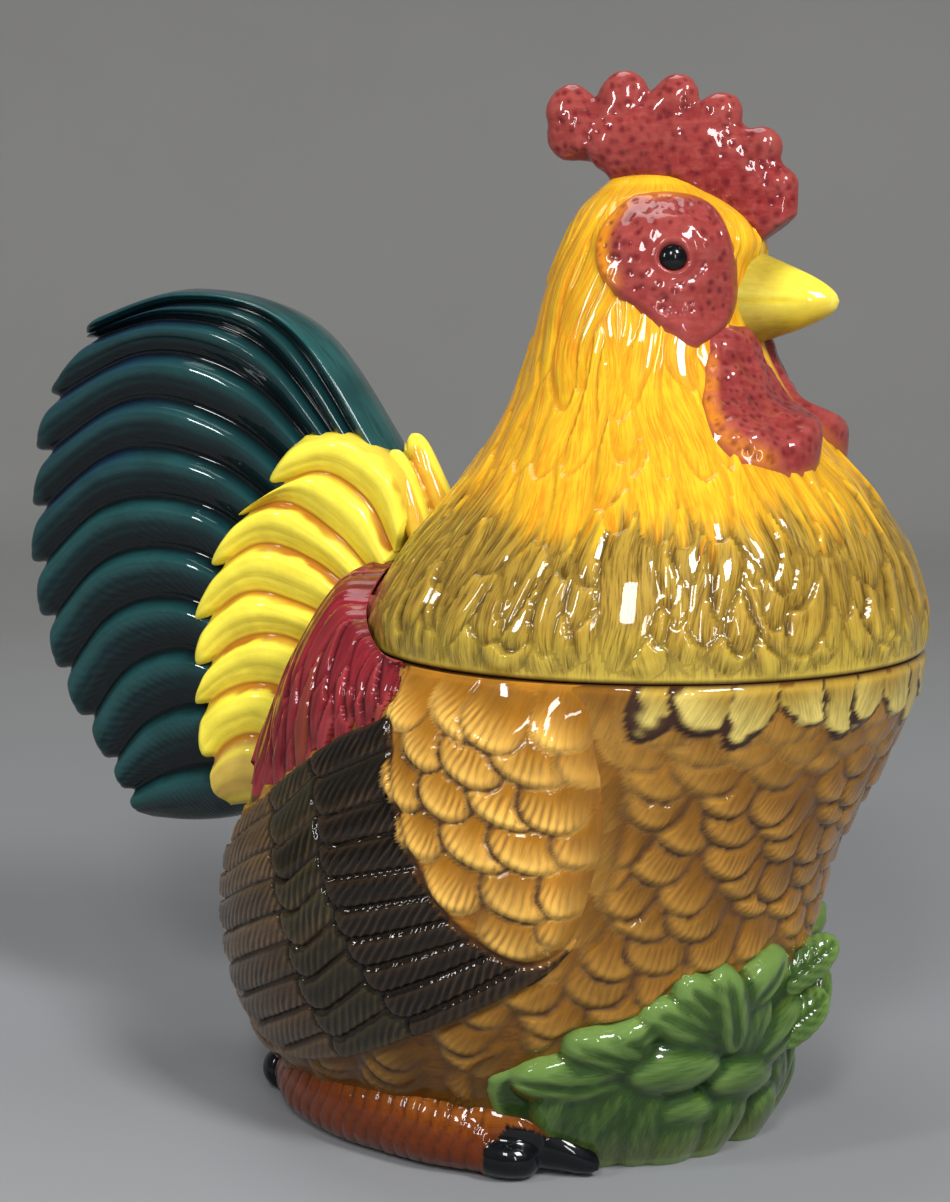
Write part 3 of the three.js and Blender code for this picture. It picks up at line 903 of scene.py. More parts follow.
def make_tail():
    """Sickle feathers side by side: each has a crest near its upper edge and sinks to the next one."""
    across, forward = np.linspace(0, TAIL_FEATHERS, TAIL_FEATHERS * 22 + 1), np.linspace(0, 1, 150)
    part = across % 1.0
    ends = 1 - 0.055 * (1 - part) ** 2 - 0.055 * smooth(0.62, 1.0, part) ** 2
    flat = shortened(sheet(TAIL_LINES, TAIL_KNOTS, across, forward), ends)
    f, v = np.meshgrid(part, forward, indexing="ij")
    count = np.floor(np.minimum(across, TAIL_FEATHERS - 0.01))[:, None] + 0 * v
    crest = smooth(0.0, 0.30, f) * (1 - 0.85 * smooth(0.34, 1.0, f))
    fold = 0.10 * np.exp(-((f - 0.62) / 0.05) ** 2) * smooth(0.2, 0.5, v)
    ends_across = (rounded(across, 0.55) * rounded(TAIL_FEATHERS - across, 0.5))[:, None]
    edge = rounded((1 - v) * 100, 6) * ends_across
    half = (np.interp(v, (0, 0.3, 1), (9.0, 8.0, 4.5)) + 4.4 * (crest - fold)) * edge
    phase = (0.45 * v * 100 + 0.9 * f * 13) / 1.9
    barb = smooth(0.10, 0.25, f) * smooth(0.99, 0.85, f) * smooth(0.05, 0.25, v) * edge
    barb *= (0.2 + 0.6 * smooth(0.35, 0.6, f)) * (0.4 + 0.6 * smooth(4, 8, across)[:, None])
    half += 0.05 * np.sin(TAU * phase) * barb
    uneven = lumps(np.dstack([flat, 0 * half]).reshape(-1, 3), 7.0, 5).reshape(half.shape)
    half = np.maximum(half + 0.12 * uneven * edge, 0.15)
    right = np.dstack([-half, flat])
    verts, faces, used = patch(right, right * (-1, 1, 1), np.ones((len(across) - 1, len(forward) - 1), bool))
    mesh = make_mesh("tail_sickles", verts, faces)
    # A paler teal over the upper part of each feather: painted sheen.
    painted_sheen = smooth(0.04, 0.20, f) * smooth(0.62, 0.36, f)
    front = smooth(1.4, 0.2, across)[:, None] * smooth(0.95, 0.35, v)
    paint = blend(TEAL, TEAL_LIGHT, np.clip(0.5 * painted_sheen * smooth(0.15, 0.5, v) + 0.9 * front, 0, 1))
    paint = blend(paint, NAVY, 0.8 * smooth(0.45, 0.75, v) * smooth(0.5, 0.2, f) * (count < 6))
    # Black over the lower part of each feather, except on the front one: painted shade where it dips to the
    # next feather.
    paint = blend(paint, INK, 0.97 * smooth(0.60, 0.82, f) * (1 - front))
    cloudy = lumps(np.dstack([flat, 0 * half]).reshape(-1, 3), 14.0, 17).reshape(half.shape)
    paint = blend(paint, INK, 0.55 * cloudy.clip(0, 1))
    brush = blend(np.multiply(TEAL, 0.40), TEAL_LIGHT, 0.35 * painted_sheen)
    flow = np.dstack([(f - 0.5) * 13, v * 100, count * 31.0])
    paint, brush, flow = doubled(used, *(v.reshape(-1, 3) for v in (paint, brush, flow)))
    barb, = doubled(used, np.stack([phase.ravel(), barb.ravel()], -1))
    add_piece("tail_sickles", mesh, "jar", tail_glaze, ["tail_fan"], paint, brush, flow, INK,
              blend(paint, TEAL_LIGHT, 0.5), None, barb)


# the upper edges of the coverts by y and height, from behind the lid to the tip
COVERT_LINES = [[(46, 186), (50, 200), (67, 211), (91, 209)], [(51, 174), (60, 191), (77, 199), (100, 190)],
                [(57, 166), (71, 180), (90, 189), (112, 180)], [(61, 158), (79, 171), (99, 175), (121, 161)],
                [(64, 148), (84, 157), (104, 159), (126, 143)],
                [(70, 138), (90, 146), (107, 143), (124, 129)],
                [(79, 124), (95, 130), (110, 127), (125, 116)],
                [(88, 108), (100, 113), (111, 109), (121, 98)], [(98, 90), (103, 89), (109, 88), (114, 87)]]


def make_coverts(side):
    """Lemon feathers over the root of the tail, each with a rusty line along its upper edge."""
    count = len(COVERT_LINES) - 1
    across, forward = np.linspace(0, count, count * 24 + 1), np.linspace(0, 1, 100)
    part = across % 1.0
    ends = 1 - 0.11 * (1 - part) ** 2 - 0.13 * smooth(0.55, 1.0, part) ** 2
    flat = shortened(sheet(COVERT_LINES, np.arange(count + 1), across, forward), ends)
    f, v = np.meshgrid(part, forward, indexing="ij")
    number = np.floor(np.minimum(across, count - 0.01))[:, None] + 0 * v
    crest = smooth(0.0, 0.26, f) * (1 - 0.85 * smooth(0.40, 0.98, f))
    fold = 0.07 * np.exp(-((f - 0.66) / 0.06) ** 2) * smooth(0.1, 0.4, v)
    edge = rounded((1 - v) * 55, 5) * rounded(across, 0.3)[:, None] * rounded(count - across, 0.4)[:, None]
    out = 11.0 + (2.6 + 1.6 * np.sin(v * math.pi) + 4.0 * crest - 4.0 * fold) * edge
    out += 0.15 * lumps(np.dstack([flat, 0 * out]).reshape(-1, 3), 7.0, 6).reshape(out.shape) * edge
    top = np.dstack([side * out, flat])
    bottom = np.dstack([0 * out + side * 0.2, flat])
    verts, faces, used = patch(top, bottom, np.ones((len(across) - 1, len(forward) - 1), bool))
    mesh = make_mesh(on_side("covert_feathers_coverts", side), verts, faces)
    wander = 0.035 * np.sin(v * 17 + number * 2.3) + 0.02 * np.sin(v * 41 + number)
    line = smooth(0.19, 0.09, f + wander) * smooth(0.97, 0.80, v)
    line = line * (0.75 + 0.35 * np.sin(number * 2.1 + v * 5))
    paint = blend(LEMON, (0.66, 0.48, 0.015), 0.6 * smooth(0.66, 0.95, f))
    paint = blend(paint, (0.36, 0.080, 0.018), np.clip(line, 0, 0.92))
    paint = blend(paint, (0.50, 0.29, 0.085), 0.8 * (number == count - 1))
    brush = blend(paint * 0.9, YELLOW, 0.4)
    flow = np.dstack([(f - 0.5) * 16, v * 55, number * 17.0])
    paint, brush, flow = doubled(used, *(v.reshape(-1, 3) for v in (paint, brush, flow)))
    add_piece(mesh.name, mesh, "jar", covert_glaze, [on_side("tail_coverts", side)],
              paint, brush, flow, (0.42, 0.16, 0.008), LEMON)


# small coverts on the front edge of the tail: places by x, y and height
RIDGE = [[(0, 51, 211), (0, 44, 196), (0, 37, 182)], [(-6, 55, 206), (-8, 48, 190), (-9, 42, 174)],
         [(6, 55, 206), (8, 48, 190), (9, 42, 174)]]


def make_ridge():
    t = np.linspace(0, 1, 30)
    ends = blunt(2 * t - 1)
    width = np.interp(t, (0, 0.4, 1), (2.5, 5.0, 6.5)) * ends
    paths = [along(places, 30) for places in RIDGE]
    shells = [tube(path, width, 4.2 * ends, (0, -1, 0.4), sides=22) for path in paths]
    mesh = fused("covert_ridge", shells, 0.7, 2)
    verts = read_verts(mesh)
    which, fraction, offset = nearest_on(paths, verts)
    line = smooth(2.2, 3.6, np.abs(offset[:, 0]))
    write_verts(mesh, verts + read_normals(mesh) * (0.12 * lumps(verts, 6.0, 17))[:, None])
    flow = np.stack([offset[:, 0], fraction * 40, which * 17.0], -1)
    paint = blend(LEMON, (0.50, 0.14, 0.012), 0.8 * line)
    add_piece("covert_ridge", mesh, "jar", covert_glaze, [], paint, YELLOW, flow,
              (0.42, 0.14, 0.008), LEMON)


# --- The wings ---

def flight_paint(column, shade):
    """Nearly black, olive and umber feathers, column by column from front to rear, with paler edges."""
    deep = ((0.004, 0.003, 0.002), (0.014, 0.013, 0.005), (0.065, 0.037, 0.014))[column]
    edge = ((0.070, 0.038, 0.016), (0.110, 0.066, 0.025), (0.165, 0.092, 0.037))[column]

    def paint(s, t, rim):
        light = np.maximum(smooth(1.5, 0.6, rim) * smooth(-0.6, 0.4, t) * 0.8, smooth(0.3, 1.0, t) * 0.35)
        return blend(deep, edge, light) * shade
    return paint


def make_wing_relief():
    angles = np.linspace(-2.98, -0.86, 265)
    heights = np.linspace(20, RIM - 0.4, 178)
    points, normals = surface_grid(jar, angles, heights)
    relief = Relief(points, normals, UMBER, SEPIA)
    grid_angle, grid_z = np.meshgrid(angles * CHART, heights)
    chart = np.stack([grid_angle.ravel(), grid_z.ravel()], -1)
    wing = depth_inside(chart, flank_chart(jar, WING_EDGE))
    lobe = depth_inside(chart, flank_chart(jar, LOBE_EDGE))
    for column in (2, 1, 0):
        count = COLUMN_COUNTS[column]
        roots, tips = along(COLUMN_EDGES[column], count + 1), along(COLUMN_EDGES[column + 1], count + 1)
        for k in range(count, -1, -1):
            root = jar.near(*np.minimum(roots[k] - (0, 1), (200, RIM - 1)))
            tip = jar.near(*tips[k])
            reach = np.linalg.norm(tip - root)
            tip = tip - (0, 0, 5.0)
            rows, a, b = relief.spread(root - (tip - root) * 0.12, tip - root, reach * 1.6)
            shade = rng.uniform(0.6, 1.35)
            half = np.interp(k / count, (0, 0.5, 1), (7.4, 7.2, 6.4)) * (1.0, 1.0, 0.9)[column]
            half = half * rng.uniform(0.9, 1.1)
            relief.feather(rows, a, b, reach * 1.16 + 1.5, half, 2.6, flight_paint(column, shade),
                           np.multiply(SEPIA, shade) * (1, 2.0, 4.0)[column], rounding=0.22, power=2.6,
                           barbs=0.40, pitch=2.2, edge=1.4, slope=0.3, lean=(0.65, 0.77, -0.77), crown=0.65)
    cover = Relief(points, normals, np.multiply(OCHRE, 1.4), np.multiply(OCHRE_DARK, 1.3))
    stamped = np.zeros(len(lobe))
    for row, z in enumerate(np.arange(58, 152, 12.0)):
        for k in range(6):
            y = 20 - (k + 0.5 * (row % 2)) * 14 - 0.45 * max(0, 100 - z) + rng.normal(0, 1.4)
            root = jar.near(y - 3, min(z + 8, RIM - 1))
            lean = np.interp(y, (-45, 20), (0.1, 0.75))
            target = jar.near(y - 3 + 12 * lean, z - 5)
            rows, a, b = cover.spread(root, target - root, 34)
            shade = rng.uniform(0.86, 1.12)
            tip = root + unit(target - root) * 14
            if lobe[((points.reshape(-1, 3) - tip) ** 2).sum(1).argmin()] < -0.5:
                continue
            length, half, lift = rng.uniform(16.5, 19.5), rng.uniform(8.6, 11.4), rng.uniform(2.2, 3.1)
            rows = cover.feather(rows, a, b, length, half, lift, scale_paint(shade * 1.42, 1.0),
                                 scale_paint(shade * 1.1, 0.9), fan=8, barbs=0.30, edge=3.0, slope=0.8,
                                 crown=0.35)
            stamped[rows] = 1
    flat_y, flat_z = points[..., 1].ravel(), grid_z.ravel()
    shoulder = smooth(0, -34, flat_y) * smooth(60, 92, flat_z)
    swell = smooth(-0.5, 2.6 + 13 * shoulder, lobe) * 2.6 + smooth(0, 22, lobe) * 3.2
    swell *= 1 - 0.7 * smooth(128, RIM, flat_z)
    cover.height *= 1 - 0.6 * smooth(128, 142, flat_z)
    faded = 1 - smooth(-12, -30, flat_y) * (1 - smooth(0, 13, lobe))
    cover.height *= faded
    cover.barb *= np.stack([0 * faded + 1, faded], -1)
    front = smooth(-14, -32, flat_y) * smooth(14, 1, lobe)
    cover.paint += (np.multiply(OCHRE, 1.15) - cover.paint) * (0.85 * front)[:, None]
    on_lobe = np.maximum(smooth(-0.6, 0.6, lobe), stamped * smooth(-0.2, 0.2, flat_y + 46))
    flights = relief.height * (1 - 0.6 * smooth(128, 142, flat_z))
    body_lift = -1.4 + 3.4 * smooth(-2.0, 2.5 + 14 * shoulder, wing) * (1 - 0.55 * smooth(135, RIM, flat_z))
    over = cover.height + np.maximum(swell, 1.6 * stamped * (1 - smooth(0.0, 1.0, lobe)))
    height = np.maximum(flights * (1 - smooth(-1.0, 1.0, lobe)), over * on_lobe)
    relief.height = height * smooth(-1.0, 2.0 + 6 * shoulder, wing) + body_lift
    relief.height = relief.height + 0.12 * lumps(relief.points, 8.0, 8)
    relief.paint += (cover.paint - relief.paint) * on_lobe[:, None]
    relief.brush += (cover.brush - relief.brush) * on_lobe[:, None]
    relief.flow = np.where(on_lobe[:, None] > 0.5, cover.flow, relief.flow)
    relief.barb = np.where(on_lobe[:, None] > 0.5, cover.barb * (1, 0.8), relief.barb)
    return relief, points, normals, on_lobe


def make_wing(side, shaped):
    relief, points, normals, on_lobe = shaped
    top = relief.raised().reshape(points.shape)
    kept = cells_above(relief.height.reshape(points.shape[:2]), -1.1)
    verts, faces, used = patch(top, points - normals * 3.2, kept)
    paint, brush, flow = doubled(used, relief.paint, relief.brush, relief.flow)
    covered, barb = doubled(used, on_lobe, relief.barb)
    if side > 0:
        verts, faces = flipped(verts, faces)
    mesh = make_mesh(on_side("wing_feathers", side), verts, faces)
    bare_highlight = np.where(covered[:, None] > 0.5, paint * 1.5, paint * 1.6 + (0.042, 0.022, 0.009))
    add_piece(mesh.name, mesh, "jar", wing_glaze, [on_side("wing", side)], paint, brush, flow,
              blend(paint * 0.10, PLUM, covered), bare_highlight, None, barb)


# --- The saddle: red strands from the back of the lid down to the wing ---

# guide lines from front to rear, each by x, y and height: at the lid's edge, halfway down and at the tip
STRAND_ROOTS = [(-69, 22, 147), (-63, 36, 148), (-54, 48, 153), (-43, 58, 159), (-31, 62, 165),
                (-17, 62, 167)]
STRAND_MIDS = [(-74, 21, 142), (-70, 37, 138), (-63, 52, 136), (-52, 67, 136), (-38, 76, 138), (-22, 82, 139)]
STRAND_TIPS = [(-75, 21, 132), (-71, 38, 126), (-65, 54, 113), (-56, 71, 101), (-45, 85, 100), (-33, 93, 107)]


def settled(points):
    """Places level with points: just inside the jar's wall, or above the rim just clear of the lid."""
    low = np.minimum(points[..., 2], RIM - 0.1)
    high = np.maximum(points[..., 2], SEAM + 0.1)
    wall = jar.at(jar.angle_of(points * (1, 1, 0) + low[..., None] * (0, 0, 1)), low, -2.0)
    clear = lid.at(lid.angle_of(points * (1, 1, 0) + high[..., None] * (0, 0, 1)), high, 1.4)
    return np.where(points[..., 2:] < RIM - 1, wall, clear)


def make_saddle(side):
    """Long red strands that fall from behind the lid over the flank, row over row."""
    roots, mids, tips = (np.array(p, float) for p in (STRAND_ROOTS, STRAND_MIDS, STRAND_TIPS))
    inner = settled(roots + (0, 0, 2.5))
    across, forward = np.linspace(0, 5, 170), np.linspace(0, 1, 130)
    points = sheet(np.stack([inner, roots, mids, tips], 1), np.arange(6), across, forward)
    normals = -unit(np.cross(np.gradient(points, axis=0), np.gradient(points, axis=1)))
    normals *= np.sign(-(normals * (1, -0.6, -0.6)).sum(-1).mean())
    relief = Relief(points, normals, RED, RED_DARK)
    relief.height[:] = -1.6
    wide = np.linalg.norm(np.diff(points, axis=0), axis=-1).sum(0) / 5
    travel = np.zeros((170, 130))
    travel[:, 1:] = np.cumsum(np.linalg.norm(np.diff(points, axis=1), axis=-1), axis=1)
    u, v = (m.ravel() for m in np.meshgrid(across, np.arange(130), indexing="ij"))
    a_all, width = travel.ravel(), wide[v.astype(int)]
    total = np.repeat(travel[:, -1], 130)
    for row, reach in enumerate((1.0, 0.80, 0.58)):
        number = 11
        for k in rng.permutation(number + 1):
            centre = (k + 0.5 * (row % 2) + rng.normal(0, 0.12)) / number * 5
            length = rng.uniform(44, 60)
            start = np.interp(centre, across, travel[:, -1]) * reach + rng.normal(0, 3.0) - length
            b = (u - centre) * width + 0.9 * np.sin(a_all / 6.5 + k * 1.3)
            rows = np.flatnonzero((np.abs(b) < 9) & (a_all > start))
            shade = rng.uniform(0.7, 1.35)
            gilded = 0.6 * (rng.random() < 0.15)
            tone = blend(np.multiply((0.17, 0.010, 0.017), shade), (0.17, 0.055, 0.014), gilded)
            half, lift = rng.uniform(4.4, 6.2), rng.uniform(1.2, 2.0)
            relief.feather(rows, a_all[rows] - start, b[rows], length, half, lift, tone,
                           blend((0.30, 0.035, 0.038), (0.05, 0.004, 0.008), rng.random()), rounding=0.5,
                           power=1.6, edge=2.4, barbs=0.10, pitch=1.6, slope=0.35, lean=(0, 1, 1), crown=0.5)
    high = (a_all < total * 0.45) & (relief.height < -1)
    relief.height[high] = 0.4
    relief.height += 0.12 * lumps(relief.points, 7.0, 9)
    top = relief.raised().reshape(points.shape)
    kept = cells_above(relief.height.reshape(points.shape[:2]), -0.9)
    verts, faces, used = patch(top, settled(points), kept)
    paint, brush, flow = doubled(used, relief.paint, relief.brush, relief.flow)
    if side > 0:
        verts, faces = flipped(verts, faces)
    mesh = make_mesh(on_side("saddle_strands", side), verts, faces)
    add_piece(mesh.name, mesh, "jar", saddle_glaze, [on_side("saddle", side)],
              paint, brush, flow, (0.035, 0.003, 0.006), (0.42, 0.055, 0.060))


# --- The feet ---

# middle lines of the right foot's toes and claws by x, y and height, each with its half widths and half heights
TOES = [[(-31, 77, 8), (-44, 63, 10), (-54, 45, 11.5), (-59, 27, 12.5), (-62, 12, 12), (-64, -3, 8.5)],
        [(-50, 30, 17), (-56, 14, 17), (-59, 4, 15), (-59, -6, 13), (-57, -15, 10)],
        [(-46, 34, 22), (-54, 14, 22), (-60, 2, 18)]]
TOE_HALVES = [(9, 12, 13.5, 14, 13.5, 9.5), (12, 12, 12, 11, 8.5), (10, 10, 9)]
TOE_TALLS = [(8, 10.5, 12.0, 13, 12.5, 8.5), (11, 11, 10.5, 10, 8.5), (9, 9, 7)]
CLAWS = [[(-64, 2, 7), (-65, -8, 6.5), (-63, -17, 5)], [(-57, -10, 9.5), (-57, -21, 7.5), (-58, -33, 3)],
         [(-30, 80, 7), (-26, 86, 6.5), (-23, 90, 5)]]
CLAW_SIZES = [((9.5, 9.0, 5.5), (7.5, 6.8, 5.0)), ((9.0, 7.5, 2.5), (9.0, 7.0, 2.8)),
              ((8, 7.5, 4), (8, 7, 4.5))]


def make_foot(side):
    shells, paths = [], []
    for path, halves, talls in zip(TOES, TOE_HALVES, TOE_TALLS):
        line = along(path, 40)
        shells.append(tube(line, along(np.array(halves)[:, None], 40)[:, 0],
                           along(np.array(talls)[:, None], 40)[:, 0], (0, 0, 1), sides=26, square=2.3))
        paths.append(line)
    for path, (halves, talls) in zip(CLAWS, CLAW_SIZES):
        line = along(path, 16)
        end = blunt(2 * np.linspace(0, 1, 16) - 1)
        shells.append(tube(line, along(np.array(halves)[:, None], 16)[:, 0] * end,
                           along(np.array(talls)[:, None], 16)[:, 0] * end, (0, 0, 1), sides=22))
        paths.append(line)
    mesh = fused("foot_raw", shells, 0.9, 3)
    verts, normals = read_verts(mesh), read_normals(mesh)
    which, fraction, offset = nearest_on(paths, verts)
    lengths = np.array([np.linalg.norm(np.diff(p, axis=0), axis=1).sum() for p in paths])[which]
    travel = fraction * lengths + 0.12 * (offset[:, 2] ** 2) * 0.3
    toe = (1 - smooth(0, -4, verts[:, 1])) * smooth(0, 3, verts[:, 2]) * (which != 5)
    wander = verts[:, 1] + 0.35 * (verts[:, 2] - 8) + 0.6 * np.sin(verts[:, 2] * 0.5)
    crease = np.exp(-((wander / 4.7) % 1 - 0.5) ** 2 / 0.010) * toe
    verts = verts + normals * (0.10 * lumps(verts, 7.0, 10) - 0.50 * crease)[:, None]
    verts[:, 2] = np.maximum(verts[:, 2], 0.0)
    nail = ((which == 3) & (verts[:, 1] < -3)) | ((which == 4) & (verts[:, 1] < -14.5)) | (which == 5)
    nail = nail[:, None]
    # Darkest low down, as painted shade, and lighter and yellower towards the tops of the toes, as painted
    # light.
    paint = blend(SHADED_FOOT_ORANGE, (0.36, 0.12, 0.010), 0.6 * smooth(10, 24, verts[:, 2] - 0.1 * verts[:, 1]))
    paint = blend(paint, (0.10, 0.020, 0.003), 0.7 * crease)
    paint = np.where(nail, INK, paint)
    brush = np.where(nail, INK, np.multiply(SHADED_FOOT_ORANGE, 0.55))
    flow = np.stack([travel, offset[:, 2] * 2, which * 13.0], -1)
    faces = [list(p.vertices) for p in mesh.polygons]
    if side > 0:
        verts, faces = flipped(verts, faces)
    mesh = make_mesh(on_side("foot_toes", side), verts, faces)
    add_piece(mesh.name, mesh, "jar", foot_glaze, [on_side("foot", side)], paint, brush, flow,
              paint * 0.3, paint * 1.25)


# --- The leaves round the base ---

# each leaf on the right: root and tip by degrees round from the breast and height, half width, bulge, midrib
LEAVES = [((-54, 30), (-71, 33), 8.5, 6.5, 0.9), ((-58, 36), (-66, 9), 8, 6, 0.6),
          ((-63, 31), (-48, 34), 7.5, 6.5, 0.9), ((-46, 36), (-61, 46), 8, 6.5, 0.5),
          ((-54, 41), (-45, 49), 6, 5.5, 0.5), ((-50, 34), (-30, 33), 8.5, 8.5, 0),
          ((-46, 19), (-29, 17), 8, 7.5, 0), ((-31, 28), (-11, 22), 8.5, 8, 0),
          ((-48, 32), (-63, -4), 11, 7, 0.2), ((-45, 28), (-52, -6), 8, 7.5, 0.2),
          ((-37, 18), (-45, -8), 11, 8, 0.1), ((-24, 22), (-32, -7), 10, 8, 0.2),
          ((-31, 40), (-47, 55), 7.5, 6, 0.8), ((-29, 44), (-41, 62), 7, 6, 0.8),
          ((-27, 36), (-33, 64), 7, 7, 0.9), ((-25, 50), (-16, 64), 7, 6.5, 0.8),
          ((-20, 30), (3, 43), 9, 7.5, 0.9), ((2, 4), (-10, 32), 8, 6, 0.5),
          ((-14, 18), (-6, -8), 10, 8, 0.2), ((-23, 34), (-20, 52), 8, 6, 0.4),
          ((-5, 26), (0, 58), 9, 5, 0.8)]
# leaf tips that stand out from the breast: three places by x, y and height, and the half width
FRONT_LEAVES = [((-12, -70, 48), (-6, -80, 55), (0, -88, 62), 7.0),
                ((-15, -70, 33), (-8, -79, 39), (0, -85, 45), 7.5),
                ((9, -70, 52), (7, -78, 46), (4, -80, 32), 8.0)]


def make_leaves():
    """Soft domed leaves that run into one another round the front of the base."""
    angles, heights = np.radians(np.linspace(-98, 98, 320)), np.linspace(0.02, 74, 90)
    points, normals = surface_grid(jar, angles, heights)
    flat_angle, flat_z = (v.ravel() for v in np.meshgrid(angles, heights))
    relief = Relief(points, normals, GREEN, GREEN_DARK)
    chart = np.stack([flat_angle * LEAF_CHART, flat_z], -1)
    relief.height = np.where(leaf_depth(flat_angle, flat_z) > 5, 1.5, -2.0)
    for number, (root, tip, half, bulge, rib) in enumerate(LEAVES):
        for sign in (-1, 1):
            start = np.array([-sign * math.radians(root[0]) * LEAF_CHART, root[1]])
            end = np.array([-sign * math.radians(tip[0]) * LEAF_CHART, tip[1]])
            length = np.linalg.norm(end - start)
            ahead = (end - start) / length
            a, b = (chart - start) @ ahead + 2, (chart - start) @ np.array([-ahead[1], ahead[0]])
            s = np.clip(a / (length + 3), 0, 1)
            width = 1.18 * half * np.sin(math.pi * s ** 0.8) ** 0.5 + 1e-6
            t = b / width
            dome = 1.05 * bulge * np.clip(1 - t * t, 0, 1) ** 0.55 * (width / half / 1.18) ** 0.5
            groove = 1.4 * rib * np.exp(-(b / 1.1) ** 2) * smooth(0, 0.3, s)
            veins = 0.22 * np.cos(TAU * (0.35 * a - (np.abs(b) if rib > 0.4 else b)) / 2.8)
            shape = dome - groove + veins * (dome > 1)
            rows = np.flatnonzero((s > 0) & (s < 1) & (np.abs(t) < 1) & (shape > relief.height))
            shade = rng.uniform(0.75, 1.2)
            relief.height[rows] = shape[rows]
            colour = blend(GREEN, GREEN_LIGHT, 0.55 * smooth(0.3, 0.9, s[rows])) * shade
            relief.paint[rows] = blend(colour, (0.16, 0.18, 0.028), 0.5 * smooth(0.75, 1.0, np.abs(t[rows])))
            relief.brush[rows] = np.multiply(GREEN_DARK, shade)
            relief.flow[rows] = np.stack([b, a, np.full(len(a), number * 19.0)], -1)[rows]
    height = relief.height.reshape(points.shape[:2])
    for _ in range(3):
        ring = np.pad(height, 1, mode="edge")
        height = 0.5 * height + 0.125 * (ring[:-2, 1:-1] + ring[2:, 1:-1] + ring[1:-1, :-2] + ring[1:-1, 2:])
    height = height + 0.25 * lumps(relief.points, 6.0, 11).reshape(height.shape)
    level = unit(normals * (1, 1, 0.0))
    top = points + level * height[..., None]
    verts, faces, used = patch(top, points - level * 3.2, cells_above(height, -0.5))
    paint, brush, flow = doubled(used, relief.paint, relief.brush, relief.flow)
    paint = blend(paint, (0.20, 0.22, 0.03), 0.5 * smooth(16, 0, verts[:, 2]))
    mesh = make_mesh("leaf_cluster", verts, faces)
    add_piece("leaf_cluster", mesh, "jar", leaf_glaze, ["foliage"], paint, brush, flow,
              GREEN_DARK, (0.20, 0.33, 0.08))
    make_breast_leaves()


def make_breast_leaves():
    """The leaf tips that stand clear of the cluster in front of the breast."""
    t = np.linspace(0, 1, 30)
    width = blunt(2 * t - 1, 3.2, 0.03) * (1.1 - 0.35 * t)
    paths = [along(places, len(t)) for *places, _ in FRONT_LEAVES]
    shells = [tube(path, leaf[3] * width, 3.6 * width ** 0.7, (-0.9, -0.3, 0.3), sides=24)
              for path, leaf in zip(paths, FRONT_LEAVES)]
    mesh = fused("breast_leaves", shells, 0.8, 4)
    verts, normals = read_verts(mesh), read_normals(mesh)
    _, fraction, offset = nearest_on(paths, verts)
    across = offset @ np.array((0.3, -0.6, -0.75))
    veins = 0.12 * np.cos(TAU * (fraction * 24 - np.abs(across)) / 3.8) - 0.4 * np.exp(-(across / 0.8) ** 2)
    write_verts(mesh, verts + normals * (veins + 0.12 * lumps(verts, 6.0, 16))[:, None])
    paint = blend(GREEN, GREEN_LIGHT, 0.6 * smooth(0.2, 1, fraction))
    flow = np.stack([across, fraction * 26, fraction * 0], -1)
    add_piece("breast_leaves", mesh, "jar", leaf_glaze, [], paint, GREEN_DARK, flow,
              GREEN_DARK, (0.20, 0.33, 0.08))


# --- The head ---

def pitted(verts, normals, spacing, seed):
    """A field of small dimples of mixed sizes about a spacing apart: 1 at the middle of each."""
    local = np.random.default_rng(seed)
    cells = np.floor(verts / spacing).astype(int)
    best = np.full(len(verts), np.inf)
    jitter = local.random((64, 64, 64, 4))
    for step in np.ndindex(3, 3, 3):
        cell = cells + step - 1
        i, j, k = (cell % 64).T
        spot = jitter[i, j, k]
        gap = verts - (cell + 0.05 + 0.9 * spot[:, :3]) * spacing
        gap -= normals * (gap * normals).sum(1, keepdims=True) * 0.4
        best = np.minimum(best, np.linalg.norm(gap, axis=1) / (0.55 + 0.6 * spot[:, 3]))
    return smooth(0.52 * spacing, 0.08 * spacing, best)


def even(verts):
    """Flow coordinates that give even blotches instead of brush strokes."""
    return verts * (0.26, 3.1, 0.5)


COMB_BASE = [(-9, 297), (-16, 298), (-32, 297), (-48, 290), (-60, 280), (-66, 272)]
# each point of the comb: root and tip by y and height, and the half widths there
COMB_LOBES = [((-16, 301), (5.5, 304), 9, 9.5), ((-9, 301), (3.5, 314), 8.5, 7.5),
              ((-16, 300), (-20, 319.5), 10.5, 6.5),
              ((-28, 300), (-38, 317), 9.5, 6.0), ((-40, 297), (-53, 310.5), 9, 5.5),
              ((-50, 289), (-66, 299), 8.5, 5.5), ((-57, 281), (-71, 287), 7.5, 5.0),
              ((-8, 296), (-9, 312), 9, 6)]


def in_plane(flat, x):
    return np.stack([np.full(len(flat), float(x)), flat[:, 0], flat[:, 1]], -1)


